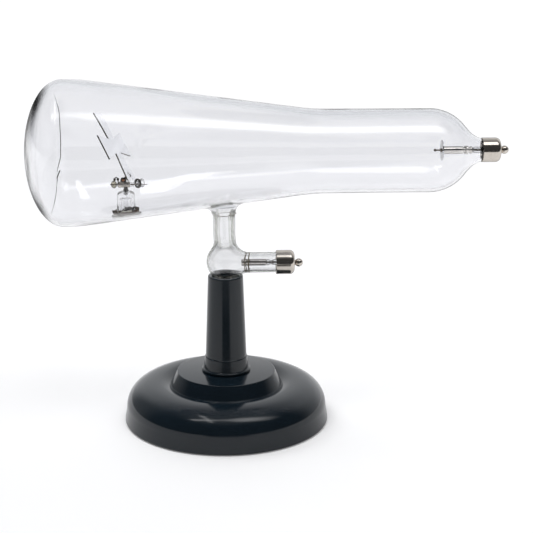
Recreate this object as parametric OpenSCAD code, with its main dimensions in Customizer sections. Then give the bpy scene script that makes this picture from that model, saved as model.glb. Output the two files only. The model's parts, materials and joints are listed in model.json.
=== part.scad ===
// Maltese cross discharge tube on a round stand.
// Origin: middle of the foot's underside. +Z is up, +X runs along the tube to its cathode cap,
// and the screen end of the tube is at -X. Millimetres.

/* [Base] */
// Diameter of the base at its foot
base_d = 130; // [110:1:160]
// How far the outer wall leans in between the foot and the shoulder
wall_draft = 1.2; // [0:0.1:2]
// Height at which the rounded shoulder starts
shoulder_z = 9; // [6:0.5:14]
// Radial width of the rounded shoulder
shoulder_w = 20.8; // [14:0.1:24]
// Squareness of the shoulder's curve, 2 is an ellipse
shoulder_power = 2.23; // [1.8:0.01:2.8]
// Height of the crest of the ring round the plinth
ring_z = 25.9; // [20:0.1:30]
// How far the ring dips from its crest to the plinth
ring_dip = 1.9; // [0.5:0.1:3]
// Diameter of the plinth at its bottom
plinth_d = 71.3; // [64:0.1:76]
// Diameter of the plinth's top face
plinth_top_d = 62; // [50:0.5:63]
// Height of the plinth above the foot of the ring
plinth_h = 8.6; // [5:0.1:12]
// Wall thickness of the moulded base
base_wall = 3; // [2:0.1:4]
// Gap between the moulding's lower edge and the table
foot_gap = 0.6; // [0.4:0.1:0.8]
// Thickness of the rubber ring under the base
foot_t = 0.9; // [0.9:0.1:1.5]
// Mean diameter of the rubber ring
foot_d = 112; // [90:1:114]
// Radial width of the rubber ring
foot_w = 6; // [3:0.5:8]
// Thickness of the plate that closes the underside
plate_t = 2; // [1.5:0.1:3]
// Outer diameter of the iron ballast
ballast_d = 84; // [60:1:86]
// Bore of the iron ballast
ballast_bore = 24; // [22:1:40]
// Thickness of the iron ballast
ballast_t = 14; // [8:0.5:15]
// Number of screws that hold the bottom plate
plate_screws = 3; // [3:1:6]
// Radius of the circle that those screws stand on
plate_screw_r = 48; // [47:0.5:49]
// Shank diameter of those screws
plate_screw_d = 3; // [2.5:0.5:3.5]
// Outer diameter of the bosses that take them
boss_d = 8; // [7:0.5:8]

/* [Post] */
// Height of the post's top above the plinth
post_h = 62.8; // [50:0.1:80]
// Diameter of the post at its top
post_top_d = 22.1; // [20:0.1:24]
// Diameter at the foot of the long taper
post_foot_d = 26; // [24:0.1:27]
// Diameter of the collar just below the taper
collar_top_d = 26.8; // [25:0.1:27.5]
// Diameter of the collar where it meets the flange
collar_d = 28.5; // [27.6:0.1:29.5]
// Height of the collar above the flange
collar_h = 8; // [5:0.1:10]
// Diameter of the flange that stands on the plinth
flange_d = 31; // [29.6:0.1:34]
// Thickness of the flange
flange_t = 2; // [1.5:0.1:3]
// Bore that takes the glass peg
socket_d = 17.2; // [15:0.1:18]
// Depth of that bore
socket_depth = 39.5; // [35:0.5:48]
// Depth to the top of the cement in the bore
cement_depth = 13; // [10:0.5:20]
// Shank diameter of the screw that holds the post
post_screw_d = 6; // [5:0.5:8]
// Length of that screw's shank
post_screw_l = 18; // [14:0.5:20]
// Diameter of the brass insert in the post
insert_d = 10; // [10:0.1:12]

/* [Glass envelope] */
// Height of the tube's axis above the table
tube_z = 174; // [165:1:190]
// Greatest diameter, at the screen end
screen_d = 90.2; // [75:0.2:110]
// Depth of the domed screen
screen_depth = 23.2; // [16:0.2:30]
// Distance from the stand's axis to the root of the dome
screen_x = 98.5; // [85:0.5:120]
// Diameter of the straight barrel at the cathode end
barrel_d = 51.8; // [46:0.2:60]
// Where the straight barrel starts
barrel_x = 63.8; // [55:0.2:75]
// Where the barrel's shoulder starts
shoulder_x = 126; // [110:0.5:150]
// Length of the rounded shoulder's ellipse
shoulder_l = 27; // [24:0.5:32]
// How much of that ellipse is used, in degrees
shoulder_turn = 50; // [45:1:55]
// Radius of the hollow curve between shoulder and tip
tip_fillet = 16; // [12:0.5:18]
// Radius of the two long curves of the taper
sweep_r = 130; // [80:5:160]
// Thickness of the glass
glass_t = 1.6; // [1.2:0.1:2.2]
// Diameter of the glass under the cathode's cap
tip_d = 13.4; // [12:0.1:13.6]
// Thickness of the sealed ends under the caps
press_t = 3; // [2:0.5:4]

/* [Neck and bulb] */
// Diameter of the neck
neck_d = 14; // [11.6:0.2:17]
// Thickness of the glass of bulb, peg and arm
neck_t = 1.6; // [1:0.1:1.8]
// Thickness of the neck's wall, which is heavy tubing
neck_wall = 3.0; // [2:0.1:4.2]
// Diameter of the bulb
bulb_d = 23.7; // [21:0.1:26]
// Height of the bulb's centre above the post's top
bulb_rise = 8.8; // [8.5:0.1:12]
// Radius of the small curve between bulb and neck
bulb_fillet = 2; // [1:0.5:4]
// Radius of the flare under the tube
flare_r = 4; // [3:0.5:5]
// Thickness of the sealing glass on the two seals
seal_t = 0.7; // [0.4:0.1:1]
// Height of the sealing glass round the neck
seal_h = 1.8; // [1:0.2:3]
// Diameter of the glass peg in the post
peg_d = 10; // [8:0.2:12]
// Depth of the peg's shoulder below the post's top
peg_depth = 29.5; // [25:0.5:31]
// Length of the sealed exhaust tip below the peg
pip_l = 8; // [5:0.5:8]

/* [Side arm] */
// How far the arm's axis lies below the bulb's centre
arm_drop = 0.7; // [0:0.1:1.5]
// Diameter of the arm
arm_d = 12.9; // [12:0.1:13.6]
// How far the anode's ball sits below the arm's axis
ball_drop = 0.4; // [0:0.1:1]
// Where the arm's cap starts
arm_cap_x = 31.8; // [28:0.2:40]
// How much the arm widens where it leaves the bulb
arm_flare = 0.8; // [0.2:0.1:1]
// Where that widening ends
arm_flare_x = 18; // [16:0.5:22]

/* [Caps and terminals] */
// Outer diameter of a cap
cap_d = 15.3; // [15.2:0.1:19]
// Length of a cap
cap_l = 11.6; // [10:0.1:14]
// Metal thickness of a cap
cap_t = 0.35; // [0.3:0.05:0.4]
// Radius of the rounded corner of a cap
cap_round = 3; // [1.5:0.1:4]
// Diameter of a terminal ball
ball_d = 5.3; // [4:0.1:7]
// Distance from a cap's end to its ball's centre
ball_reach = 2.7; // [2.2:0.1:5]
// Diameter of a terminal's stem
stem_d = 2.2; // [1.6:0.1:3]
// Diameter of the lead wires
lead_d = 0.8; // [0.6:0.1:1]
// Diameter of the glass sheath on a lead
sheath_d = 2; // [1.6:0.1:2.4]
// Where the cathode's cap starts
cathode_cap_x = 158.9; // [158:0.1:164]

/* [Cathode] */
// Diameter of the cathode's disc
disc_d = 12.8; // [10:0.2:18]
// Thickness of the disc
disc_t = 0.8; // [0.5:0.1:1.5]
// Where the disc's front face is
disc_x = 134.2; // [128:0.2:138]
// Diameter of the metal sleeve that carries the disc
sleeve_d = 4.8; // [3.6:0.1:6]
// Length of that sleeve
sleeve_l = 16; // [12:0.5:18]
// Length of the pin in front of the disc
nose_l = 4.2; // [3:0.2:6]
// Diameter of that pin
nose_d = 1.2; // [0.8:0.1:1.6]

/* [Anode] */
// Diameter of the anode's tube
anode_d = 4.1; // [3:0.1:5]
// Length of the anode's tube
anode_l = 15.9; // [10:0.1:18]
// Where the anode's tube ends, on the cap's side
anode_x = 25.6; // [24:0.2:27]
// Length of the glass bead behind it
bead_l = 2.4; // [1.5:0.1:3]

/* [Cross pillar] */
// Distance of the pillar from the stand's axis
pillar_x = 61; // [50:0.2:70]
// Height of the pillar's glass from the wall to its shoulder
pillar_h = 15.8; // [14:0.1:18]
// Diameter of the pillar at its foot
pillar_foot_d = 12.4; // [11.4:0.2:14]
// Diameter of the pillar below its shoulder
pillar_d = 10.8; // [9:0.2:12]
// Thickness of the pillar's glass
pillar_t = 2.4; // [0.8:0.1:2.6]
// Diameter of the glass stem inside the pillar
core_d = 2.8; // [2:0.1:4.4]
// Diameter of the thick glass pad under the pillar
pad_d = 20.4; // [16:0.2:22]
// Thickness of that pad
pad_t = 1.8; // [1.4:0.1:3]
// Wire diameter of the band round the pillar's foot
band_wire = 1.1; // [0.8:0.1:1.4]
// Height of the cross-bar's axis above the pillar's shoulder
bar_rise = 4.2; // [4:0.1:5]
// Diameter of the glass cross-bar
bar_d = 2.8; // [2.3:0.02:3.4]
// Length of the cross-bar on the screen's side
bar_l_screen = 5.1; // [4.4:0.1:6]
// Length of the cross-bar on the cathode's side
bar_l_cathode = 5; // [4.6:0.1:5.2]
// Diameter of the bead at the screen end of the bar
bead_d = 4; // [3.4:0.1:4.2]
// Diameter of the wires in the bar's ends
bar_wire = 0.7; // [0.6:0.1:0.9]
// Mean diameter of the ring at the cathode end of the bar
ring_d = 5.2; // [4.6:0.1:5.6]
// Wire diameter of that ring
ring_wire = 0.84; // [0.6:0.02:1]
// Distance of that ring from the pillar's axis
ring_x = 7.4; // [7.4:0.1:9]
// Height of that ring's middle above the bar's axis
ring_lift = 0.6; // [0:0.1:0.8]
// Turn of that ring away from the bar, in degrees
ring_turn = 48; // [40:1:60]
// Reach of the thin wire past the ring, from the pillar's axis
tail_x = 13.5; // [12:0.1:16]
// Height of the wire hook above the bar's axis
hook_h = 4.9; // [4:0.1:5]
// Width of the wire hook
hook_w = 2.4; // [2:0.1:2.6]
// Wire diameter of the hook
hook_wire = 0.56; // [0.4:0.02:0.7]

/* [Hinge] */
// Radius of the lug's eye round the pin
lug_r = 1.1; // [0.9:0.05:1.2]
// Clearance between that eye and the sleeve on the bar
lug_clear = 0.15; // [0.1:0.05:0.4]
// How far the pin lies on the screen's side of the pillar
pin_back = 1.35; // [0.5:0.05:1.5]
// Diameter of the hinge pin
pin_d = 0.9; // [0.7:0.1:1]
// Metal thickness of the bracket and its ears
bracket_t = 0.3; // [0.25:0.05:0.35]
// Length of the bracket's sleeve round the bar
bracket_l = 4.4; // [4:0.1:5]
// Width of an ear
ear_w = 3.6; // [3:0.1:4]
// Distance between the ears
ear_gap = 2.2; // [2:0.1:2.6]
// Running clearance of the hinge pin in the lug, on the radius
pin_play = 0.05; // [0.02:0.01:0.08]

/* [Cross] */
// Half of the cross's span
cross_a = 23.1; // [18:0.1:25]
// Half width of an arm at its tip
arm_tip_w = 8.1; // [6:0.1:9]
// Half width of an arm at the middle
arm_root_w = 5; // [3:0.1:6]
// Thickness of the cross
cross_t = 0.8; // [0.5:0.1:1]
// Distance from the hinge pin to the cross's middle plane
cross_offset = 4.3; // [4:0.1:5]
// How far the cross's foot reaches below the pin
foot_reach = 2.4; // [2:0.1:2.6]
// Lean of the cross towards the screen at rest, in degrees
cross_lean = 27; // [0:1:40]
// Sideways tilt of the cross on its rivet, in degrees
cross_tilt = 13.6; // [0:0.1:15]
// Twist of the cross on its rivet, in degrees
cross_twist = 7.3; // [0:0.1:9]
// Diameter of the rivet's head
rivet_d = 1.8; // [1.4:0.1:2.2]

/* [Hidden] */
$fn = 96;

// Gap left between pieces that are fused, cemented or pressed together
fit = 0.05;
// Overlap that keeps a cut clear of a face
cut = 1;

base_r = base_d / 2;
wall_r = base_r - wall_draft;
crown_r = wall_r - shoulder_w;
inner_wall_r = wall_r - base_wall;
plinth_foot_z = ring_z - ring_dip;
plinth_z = plinth_foot_z + plinth_h;
plate_z = foot_t;
plate_top = plate_z + plate_t;
plate_r = inner_wall_r - 0.2;
boss_top = ring_z - base_wall;
post_hole_d = post_screw_d + 0.6;
washer_d = 3 * post_screw_d;
washer_t = 1.4;
hex_d = 1.9 * post_screw_d;
hex_h = 0.7 * post_screw_d;
washer_z = plinth_z - base_wall - washer_t;

post_z = plinth_z + post_h;
socket_z = post_z - socket_depth;
flange_z = plinth_z + flange_t;
collar_z = flange_z + collar_h;
insert_depth = post_screw_l - base_wall - washer_t + 1;

screen_r = screen_d / 2;
barrel_r = barrel_d / 2;
tip_r = tip_d / 2;
// Slope of the straight taper: the line that touches both long curves
sweep_dx = screen_x + barrel_x;
sweep_dr = barrel_r - screen_r + 2 * sweep_r;
taper = asin(2 * sweep_r / norm([sweep_dx, sweep_dr])) - atan2(sweep_dr, sweep_dx);
taper_x = -screen_x + sweep_r * sin(taper);
taper_r = screen_r - sweep_r * (1 - cos(taper));
// Slope of the shoulder where its ellipse ends
tip_slope = atan(barrel_r / shoulder_l * tan(shoulder_turn));
tip_drop = barrel_r * cos(shoulder_turn) - tip_r - tip_fillet * (1 - cos(tip_slope));
tip_x = shoulder_x + shoulder_l * sin(shoulder_turn)
    + tip_drop / tan(tip_slope) + tip_fillet * sin(tip_slope);
cathode_cap_end = cathode_cap_x + cap_l;
tube_end = cathode_cap_end - press_t;

bulb_z = post_z + bulb_rise;
bulb_r = bulb_d / 2;
neck_r = neck_d / 2;
neck_bore = neck_r - neck_wall;
peg_r = peg_d / 2;
peg_z = post_z - peg_depth;
peg_bore = peg_r - neck_t;
fillet_z = bulb_z + sqrt(pow(bulb_r + bulb_fillet, 2) - pow(neck_r + bulb_fillet, 2));
// Height of the tube's underside above the stand's axis
tube_floor = tube_z - glass_radius(0, 0);
flare_z = tube_floor - flare_r - 2.4;
seal_z = flare_z - seal_h;

arm_z = bulb_z - arm_drop;
arm_r = arm_d / 2;
arm_bore = arm_r - neck_t;
arm_cap_end = arm_cap_x + cap_l;
arm_end = arm_cap_end - press_t;
arm_seal_x = bulb_r + 1.2;

cap_r = cap_d / 2;
cap_bore = cap_r - cap_t;
ball_r = ball_d / 2;
stem_inside = 2.2;
lead_r = lead_d / 2;
sheath_r = sheath_d / 2;

disc_back = disc_x + disc_t;
sleeve_end = disc_back + sleeve_l;
sheath_grip = 1.9;
nose_grip = 3;
sleeve_r = sleeve_d / 2;
nose_r = nose_d / 2;
anode_r = anode_d / 2;
anode_start = anode_x - anode_l;

// The wall under the pillar, measured inside the tube
pillar_wall = tube_z - glass_radius(-pillar_x, glass_t);
pillar_foot_z = pillar_wall + pad_t + 0.2;
pillar_top = pillar_wall + pillar_h;
bar_z = pillar_top + bar_rise;
bar_r = bar_d / 2;
bead_x = pillar_x + bar_l_screen + bead_d / 2 + fit;
sleeve_in = bar_r + fit;
sleeve_out = sleeve_in + bracket_t;
mast_r = 1.2;
mast_depth = 2.6;
pin_z = bar_z + sleeve_out + lug_clear + lug_r;
pin_x = -pillar_x - pin_back;
pin_r = pin_d / 2;
ear_top = pin_z + 1.2;
pin_head = 0.35;
wire_grip = 2.2;

// Points on an arc round c, from angle a0 to a1
function arc(c, r, a0, a1, n = 8) =
    [for (i = [0:n]) let (a = a0 + (a1 - a0) * i / n) c + r * [cos(a), sin(a)]];
function reversed(list) = [for (i = [len(list) - 1:-1:0]) list[i]];

// Radius of the taper at x, inset from the outer face
function glass_radius(x, inset) =
    taper_r - (x - taper_x) * tan(taper) - inset / cos(taper);

// Half outline of the envelope as [radius, x], from the screen's pole to the cathode's tip
function envelope_outline(inset, end_x) = concat(
    [for (t = [0:7.5:90])
        [(screen_r - inset) * sin(t), -screen_x - (screen_depth - inset) * cos(t)]],
    [for (t = [taper / 4:taper / 4:taper])
        [screen_r - sweep_r + (sweep_r - inset) * cos(t), -screen_x + (sweep_r - inset) * sin(t)]],
    [for (t = [taper:-taper / 4:0])
        [barrel_r + sweep_r - (sweep_r + inset) * cos(t), barrel_x - (sweep_r + inset) * sin(t)]],
    [for (t = [0:shoulder_turn / 8:shoulder_turn])
        [(barrel_r - inset) * cos(t), shoulder_x + (shoulder_l - inset) * sin(t)]],
    [for (t = [tip_slope:-tip_slope / 6:0])
        [tip_r + tip_fillet - (tip_fillet + inset) * cos(t), tip_x - (tip_fillet + inset) * sin(t)]],
    [[tip_r - inset, end_x], [0, end_x]]);

// Half outline of the neck, bulb and peg as [radius, z], from the pip upwards
function neck_outline(r_neck, r_bulb, r_fillet, r_peg, low, top) =
    let (z_fillet = bulb_z + sqrt(pow(r_bulb + r_fillet, 2) - pow(r_neck + r_fillet, 2)),
         a_fillet = atan2(z_fillet - bulb_z, r_neck + r_fillet),
         a_peg = -acos(r_peg / r_bulb))
    concat(
        [[0, low], [r_peg / 5, low + 1], [r_peg / 3, peg_z - r_peg / 2], [r_peg, peg_z + r_peg / 2]],
        arc([0, bulb_z], r_bulb, a_peg, a_fillet, 20),
        arc([r_neck + r_fillet, z_fillet], r_fillet, 180 + a_fillet, 180, 4),
        [[r_neck, top], [0, top]]);

module turned(points) {
    rotate_extrude() polygon(points);
}

// Stands a turned piece on the tube's axis, its own z along +X
module on_tube() {
    translate([0, 0, tube_z]) rotate([0, 90, 0]) children();
}

// Stands a turned piece on the side arm's axis, its own z along +X
module on_arm() {
    translate([0, 0, arm_z]) rotate([0, 90, 0]) children();
}

// Stands a turned piece on the pillar, square to the sloping wall under it
module on_pillar_foot() {
    translate([-pillar_x, 0, pillar_wall]) rotate([0, -taper, 0]) children();
}

// Stands a piece on the cross-bar's axis, its own z along +X, x = 0 over the pillar
module on_bar() {
    translate([-pillar_x, 0, bar_z]) rotate([0, 90, 0]) children();
}

// Puts a piece at the hinge pin in the lean that the cross has at rest
module at_pin() {
    translate([pin_x, 0, pin_z]) rotate([0, -cross_lean, 0]) children();
}

// A plain tube from z = a to z = b
module pipe(r_out, r_in, a, b) {
    difference() {
        translate([0, 0, a]) cylinder(r = r_out, h = b - a);
        translate([0, 0, a - cut]) cylinder(r = r_in, h = b - a + 2 * cut);
    }
}

module rod(r, a, b) {
    translate([0, 0, a]) cylinder(r = r, h = b - a);
}

module envelope_form(inset, end_x) {
    on_tube() turned(envelope_outline(inset, end_x));
}

// Points of the base's rounded shoulder, inset from its outer face
function shoulder_pts(inset) =
    [for (t = [90:-7.5:0])
        [crown_r + (wall_r - inset - crown_r) * pow(sin(t), 2 / shoulder_power),
         shoulder_z + (ring_z - inset - shoulder_z) * pow(cos(t), 2 / shoulder_power)]];

// Points of the dished ring between the shoulder and the plinth, inset from its outer face
function ring_pts(inset) =
    let (foot = plinth_d / 2 - inset)
    [for (i = [1:6]) let (u = i / 6)
        [crown_r + (foot - crown_r) * u, ring_z - inset - ring_dip * u * u]];

module base_shell() {
    outer = concat([[base_r - 0.5, foot_gap], [base_r, foot_gap + 0.6]], shoulder_pts(0), ring_pts(0),
        [[plinth_top_d / 2 + 0.3, plinth_z - 0.3],
         [plinth_top_d / 2, plinth_z], [post_hole_d / 2, plinth_z]]);
    inner = concat([[inner_wall_r, foot_gap]], shoulder_pts(base_wall), ring_pts(base_wall),
        [[plinth_top_d / 2 - base_wall, plinth_z - base_wall],
         [post_hole_d / 2, plinth_z - base_wall]]);
    color("#23272c") difference() {
        union() {
            turned(concat(outer, reversed(inner)));
            for (i = [0:plate_screws - 1])
                rotate(90 + 360 * i / plate_screws) translate([plate_screw_r, 0, plate_top])
                    cylinder(d = boss_d, h = boss_top - plate_top + 0.3);
        }
        for (i = [0:plate_screws - 1])
            rotate(90 + 360 * i / plate_screws) translate([plate_screw_r, 0, plate_top - cut])
                cylinder(d = plate_screw_d + 2 * fit, h = 12.5 + cut);
    }
}

module ballast() {
    color("#4a4a4c") pipe(ballast_d / 2, ballast_bore / 2, plate_top, plate_top + ballast_t);
}

module bottom_plate() {
    color("#2c2f33") difference() {
        translate([0, 0, plate_z]) cylinder(r = plate_r, h = plate_t);
        for (i = [0:plate_screws - 1])
            rotate(90 + 360 * i / plate_screws) translate([plate_screw_r, 0, 0]) {
                cylinder(d = plate_screw_d + 0.4, h = plate_top + cut);
                translate([0, 0, plate_z - cut]) cylinder(d = 2 * plate_screw_d + 0.4, h = cut + 1.2);
            }
    }
}

module plate_screw_set() {
    color("silver") for (i = [0:plate_screws - 1])
        rotate(90 + 360 * i / plate_screws) translate([plate_screw_r, 0, plate_z + 0.1]) {
            cylinder(d = 2 * plate_screw_d, h = 1.1);
            cylinder(d = plate_screw_d, h = 12.8);
        }
}

module foot_ring() {
    color("#1a1a1a") pipe((foot_d + foot_w) / 2, (foot_d - foot_w) / 2, 0, foot_t);
}

module post() {
    color("#23272c") turned([
        [insert_d / 2, plinth_z], [flange_d / 2 - 0.5, plinth_z], [flange_d / 2, plinth_z + 0.5],
        [flange_d / 2, flange_z - 0.6], [flange_d / 2 - 0.6, flange_z], [collar_d / 2, flange_z],
        [collar_top_d / 2, collar_z - 0.4], [collar_top_d / 2 - 0.3, collar_z],
        [post_foot_d / 2, collar_z], [post_top_d / 2, post_z - 0.4], [post_top_d / 2 - 0.4, post_z],
        [socket_d / 2 + 0.3, post_z], [socket_d / 2, post_z - 0.3], [socket_d / 2, socket_z],
        [0, socket_z], [0, plinth_z + insert_depth], [insert_d / 2, plinth_z + insert_depth]]);
}

module post_insert() {
    color("#b08d45") pipe(insert_d / 2 - fit, post_screw_d / 2 + fit,
        plinth_z + 0.2, plinth_z + insert_depth - 0.4);
}

module post_screw() {
    color("silver") {
        translate([0, 0, washer_z - hex_h]) cylinder(d = hex_d, h = hex_h, $fn = 6);
        translate([0, 0, washer_z]) cylinder(d = post_screw_d, h = post_screw_l);
    }
}

module post_washer() {
    color("silver") pipe(washer_d / 2, post_hole_d / 2, washer_z, washer_z + washer_t);
}

module socket_cement() {
    color("#d8d2c4") pipe(socket_d / 2 - fit, peg_r + fit, peg_z + peg_r / 2, post_z - cement_depth);
}

module envelope() {
    color("lightsteelblue") difference() {
        envelope_form(0, tube_end);
        envelope_form(glass_t, tube_end - press_t);
        translate([0, 0, tube_z - screen_r]) cylinder(r = neck_r, h = screen_r);
        on_tube() rod(sheath_r + fit, tube_end - press_t - cut, tube_end + cut);
    }
}

module neck_glass() {
    outer = neck_outline(neck_r, bulb_r, bulb_fillet, peg_r, peg_z - pip_l, flare_z);
    color("lightsteelblue") difference() {
        union() {
            turned(outer);
            turned(concat([[0, flare_z - cut], [neck_r, flare_z - cut]],
                arc([neck_r + flare_r, flare_z], flare_r, 180, 90, 6),
                [[neck_r + flare_r, tube_z], [0, tube_z]]));
        }
        turned(neck_outline(neck_bore, bulb_r - neck_t, bulb_fillet + neck_t, peg_bore,
            peg_z - peg_r / 2, tube_z + cut));
        // the bore opens into the tube as wide as the neck
        turned([[0, seal_z], [neck_bore, seal_z], [(neck_bore + 2 * neck_r) / 3, flare_z + flare_r / 2],
            [neck_r, tube_floor], [neck_r, tube_z], [0, tube_z]]);
        envelope_form(-fit, tube_end);
        on_arm() rod(arm_bore, 0, bulb_r + cut);
    }
}

module neck_seal() {
    color("#a98b6d") turned(concat([[neck_r + fit, seal_z], [neck_r + seal_t / 2, seal_z]],
        arc([neck_r + seal_t / 2, seal_z + seal_h / 2], seal_t, -60, 60, 6),
        [[neck_r + seal_t / 2, seal_z + seal_h], [neck_r + fit, seal_z + seal_h]]));
}

// Half outline of the side arm as [radius, x]
function arm_outline(inset, start_x, end_x) = concat(
    [[0, start_x]],
    [[arm_r - inset + arm_flare, start_x]],
    [for (t = [0:30:180])
        [arm_r - inset + arm_flare * (1 + cos(t)) / 2, arm_seal_x + 0.5 + (arm_flare_x - arm_seal_x) * t / 180]],
    [[arm_r - inset, end_x], [0, end_x]]);

module arm_glass() {
    color("lightsteelblue") difference() {
        on_arm() turned(arm_outline(0, bulb_r - 4, arm_end));
        on_arm() rod(arm_bore, 0, arm_end - press_t);
        on_arm() rod(sheath_r + fit, 0, arm_end + cut);
        translate([0, 0, bulb_z]) sphere(r = bulb_r + fit);
    }
}

module arm_seal() {
    r = arm_r + arm_flare;
    color("#a98b6d") on_arm() pipe(r + seal_t / 2, r + fit, arm_seal_x - 0.5, arm_seal_x + 0.5);
}

// A drawn cup, its mouth at z = 0
module cap(drop = 0) {
    difference() {
        turned(concat([[0, 0], [cap_r, 0]],
            arc([cap_r - cap_round, cap_l - cap_round], cap_round, 0, 90, 6), [[0, cap_l]]));
        turned(concat([[0, -cut], [cap_bore, -cut]],
            arc([cap_r - cap_round, cap_l - cap_round], cap_round - cap_t, 0, 90, 6),
            [[0, cap_l - cap_t]]));
        translate([drop, 0, 0]) rod(stem_d / 2 + fit, 0, cap_l + cut);
    }
}

// A ball on its stem, z = 0 at the cap's outer end
module terminal() {
    turned(concat([[0, -stem_inside], [stem_d, -stem_inside], [stem_d, -cap_t - fit],
        [stem_d / 2, -cap_t - fit], [stem_d / 2, fit], [stem_d / 2 + 0.6, fit],
        [stem_d / 2 + 0.6, fit + 0.3]],
        arc([0, ball_reach], ball_r, -asin((ball_reach - 0.5) / ball_r), 90, 14)));
}

module cathode_cap() {
    color("#c9c2b6") on_tube() translate([0, 0, cathode_cap_x]) cap();
}

module cathode_terminal() {
    color("#c9c2b6") on_tube() translate([0, 0, cathode_cap_end]) terminal();
}

module cathode_cement() {
    color("#d8d2c4") on_tube() pipe(cap_bore - fit, tip_r + fit, tip_x + 0.2, tube_end);
}

module cathode_sheath() {
    color("lightsteelblue") on_tube() pipe(sheath_r, lead_r + fit, sleeve_end - sheath_grip + fit, tube_end - fit);
}

module cathode_lead() {
    color("#777777") on_tube() rod(lead_r, disc_back + nose_grip + 1, cathode_cap_end - stem_inside - fit);
}

module cathode_sleeve() {
    color("#b9b4aa") on_tube() difference() {
        rod(sleeve_r, disc_back, sleeve_end);
        rod(nose_r + fit, disc_back - cut, disc_back + nose_grip);
        rod(lead_r + fit, disc_back + nose_grip - cut, sleeve_end);
        rod(sheath_r + fit, sleeve_end - sheath_grip, sleeve_end + cut);
    }
}

module cathode_disc() {
    color("#b9b4aa") on_tube() difference() {
        turned([[0, disc_x + 0.4], [disc_d / 2 - 1, disc_x], [disc_d / 2, disc_x],
            [disc_d / 2, disc_back], [0, disc_back]]);
        rod(nose_r + fit, disc_x - cut, disc_back + cut);
    }
}

module cathode_nose() {
    color("#8d887f") on_tube() {
        rod(nose_r, disc_x - nose_l, disc_back + nose_grip - fit);
        rod(nose_r + 0.7, disc_x - 0.8, disc_x + 0.3);
        translate([0, 0, disc_x - nose_l]) sphere(r = nose_r + 0.3);
    }
}

module anode_cap() {
    color("#c9c2b6") on_arm() translate([0, 0, arm_cap_x]) cap(ball_drop);
}

module anode_terminal() {
    color("#c9c2b6") on_arm() translate([ball_drop, 0, arm_cap_end]) terminal();
}

module anode_cement() {
    color("#d8d2c4") on_arm() pipe(cap_bore - fit, arm_r + fit, arm_cap_x + 0.5, arm_end);
}

module anode_sheath() {
    color("lightsteelblue") on_arm() pipe(sheath_r, lead_r + fit, anode_x + bead_l + fit, arm_end - fit);
}

module anode_lead() {
    color("#777777") on_arm() rod(lead_r, anode_x - 4, arm_cap_end - stem_inside - fit);
}

module anode_bead() {
    color("lightsteelblue") on_arm() difference() {
        turned(concat([[0, anode_x + fit]], arc([anode_r - 0.6, anode_x + fit + bead_l / 2],
            bead_l / 2 - fit, -90, 90, 8), [[0, anode_x + bead_l - fit]]));
        rod(lead_r + fit, anode_x - cut, anode_x + bead_l + cut);
    }
}

module anode_tube() {
    color("#c4c6ca") on_arm() difference() {
        rod(anode_r, anode_start, anode_x);
        rod(anode_r - 0.5, anode_start - cut, anode_x - 5);
        rod(lead_r + fit, anode_start, anode_x + cut);
    }
}

module pillar_pad() {
    color("lightsteelblue") intersection() {
        envelope_form(glass_t + fit, tube_end - press_t);
        on_pillar_foot() translate([0, 0, -4]) cylinder(r1 = pad_d / 2 + 1, r2 = pad_d / 2 - 2, h = 4 + pad_t);
    }
}

module foot_band() {
    band_r = pillar_foot_d / 2 + band_wire / 2 + 0.7;
    color("#7a5a3a") on_pillar_foot() translate([0, 0, pad_t + band_wire / 2 + 0.1]) {
        rotate_extrude() translate([band_r, 0]) circle(d = band_wire);
        for (s = [-1, 1]) translate([s * band_r, 0, 0.4 * band_wire]) sphere(d = 1.9 * band_wire);
    }
}

module pillar_glass() {
    foot_r = pillar_foot_d / 2;
    r = pillar_d / 2;
    z0 = pad_t + 0.1;
    outer = concat([[foot_r, z0], [foot_r - 0.5, z0 + 2.6], [r + 0.1, z0 + 6]],
        arc([r - 2.4, pillar_h - 2.4], 2.4, 0, 90, 6));
    inner = [[foot_r - pillar_t, z0], [foot_r - 0.5 - pillar_t, z0 + 2.6],
        [r - pillar_t, z0 + 6], [r - pillar_t, pillar_h - mast_depth - 1.8],
        [r - pillar_t - 0.8, pillar_h - mast_depth - 0.6], [0, pillar_h - mast_depth - 0.6]];
    color("lightsteelblue") translate([-pillar_x, 0, pillar_wall]) difference() {
        turned(concat(outer, [[0, pillar_h]], reversed(inner)));
        rod(mast_r + fit, pillar_h - mast_depth, pillar_h + cut);
        rotate([0, -taper, 0]) translate([0, 0, pad_t + fit - 6]) cylinder(r = pad_d, h = 6);
    }
}

module pillar_core() {
    color("lightsteelblue") translate([-pillar_x, 0, pillar_wall]) difference() {
        pipe(core_d / 2, core_d / 2 - 0.6, pad_t - 0.5, pillar_h - mast_depth - 0.6 - fit);
        rotate([0, -taper, 0]) translate([0, 0, pad_t + fit - 6]) cylinder(r = pad_d, h = 6);
    }
}

module cross_bar() {
    a = -bar_l_screen;
    b = bar_l_cathode;
    color("lightsteelblue") on_bar() difference() {
        turned(concat([[0, a], [bar_r - 0.6, a]], arc([bar_r - 0.6, a + 0.6], 0.6, -90, 0, 4),
            arc([bar_r - 0.6, b - 0.6], 0.6, 0, 90, 4), [[0, b]]));
        rod(bar_wire / 2 + fit, a - cut, a + wire_grip);
        rod(bar_wire / 2 + fit, b - wire_grip, b + cut);
    }
}

module end_bead() {
    color("#6b5d48") translate([-bead_x, 0, bar_z]) difference() {
        sphere(d = bead_d);
        rotate([0, 90, 0]) rod(bar_wire / 2 + fit, -bead_d, bead_d);
    }
}

module screen_wire() {
    color("#8d887f") on_bar() rod(bar_wire / 2, -bar_l_screen - bead_d - 0.5, -bar_l_screen + wire_grip - fit);
}

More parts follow.
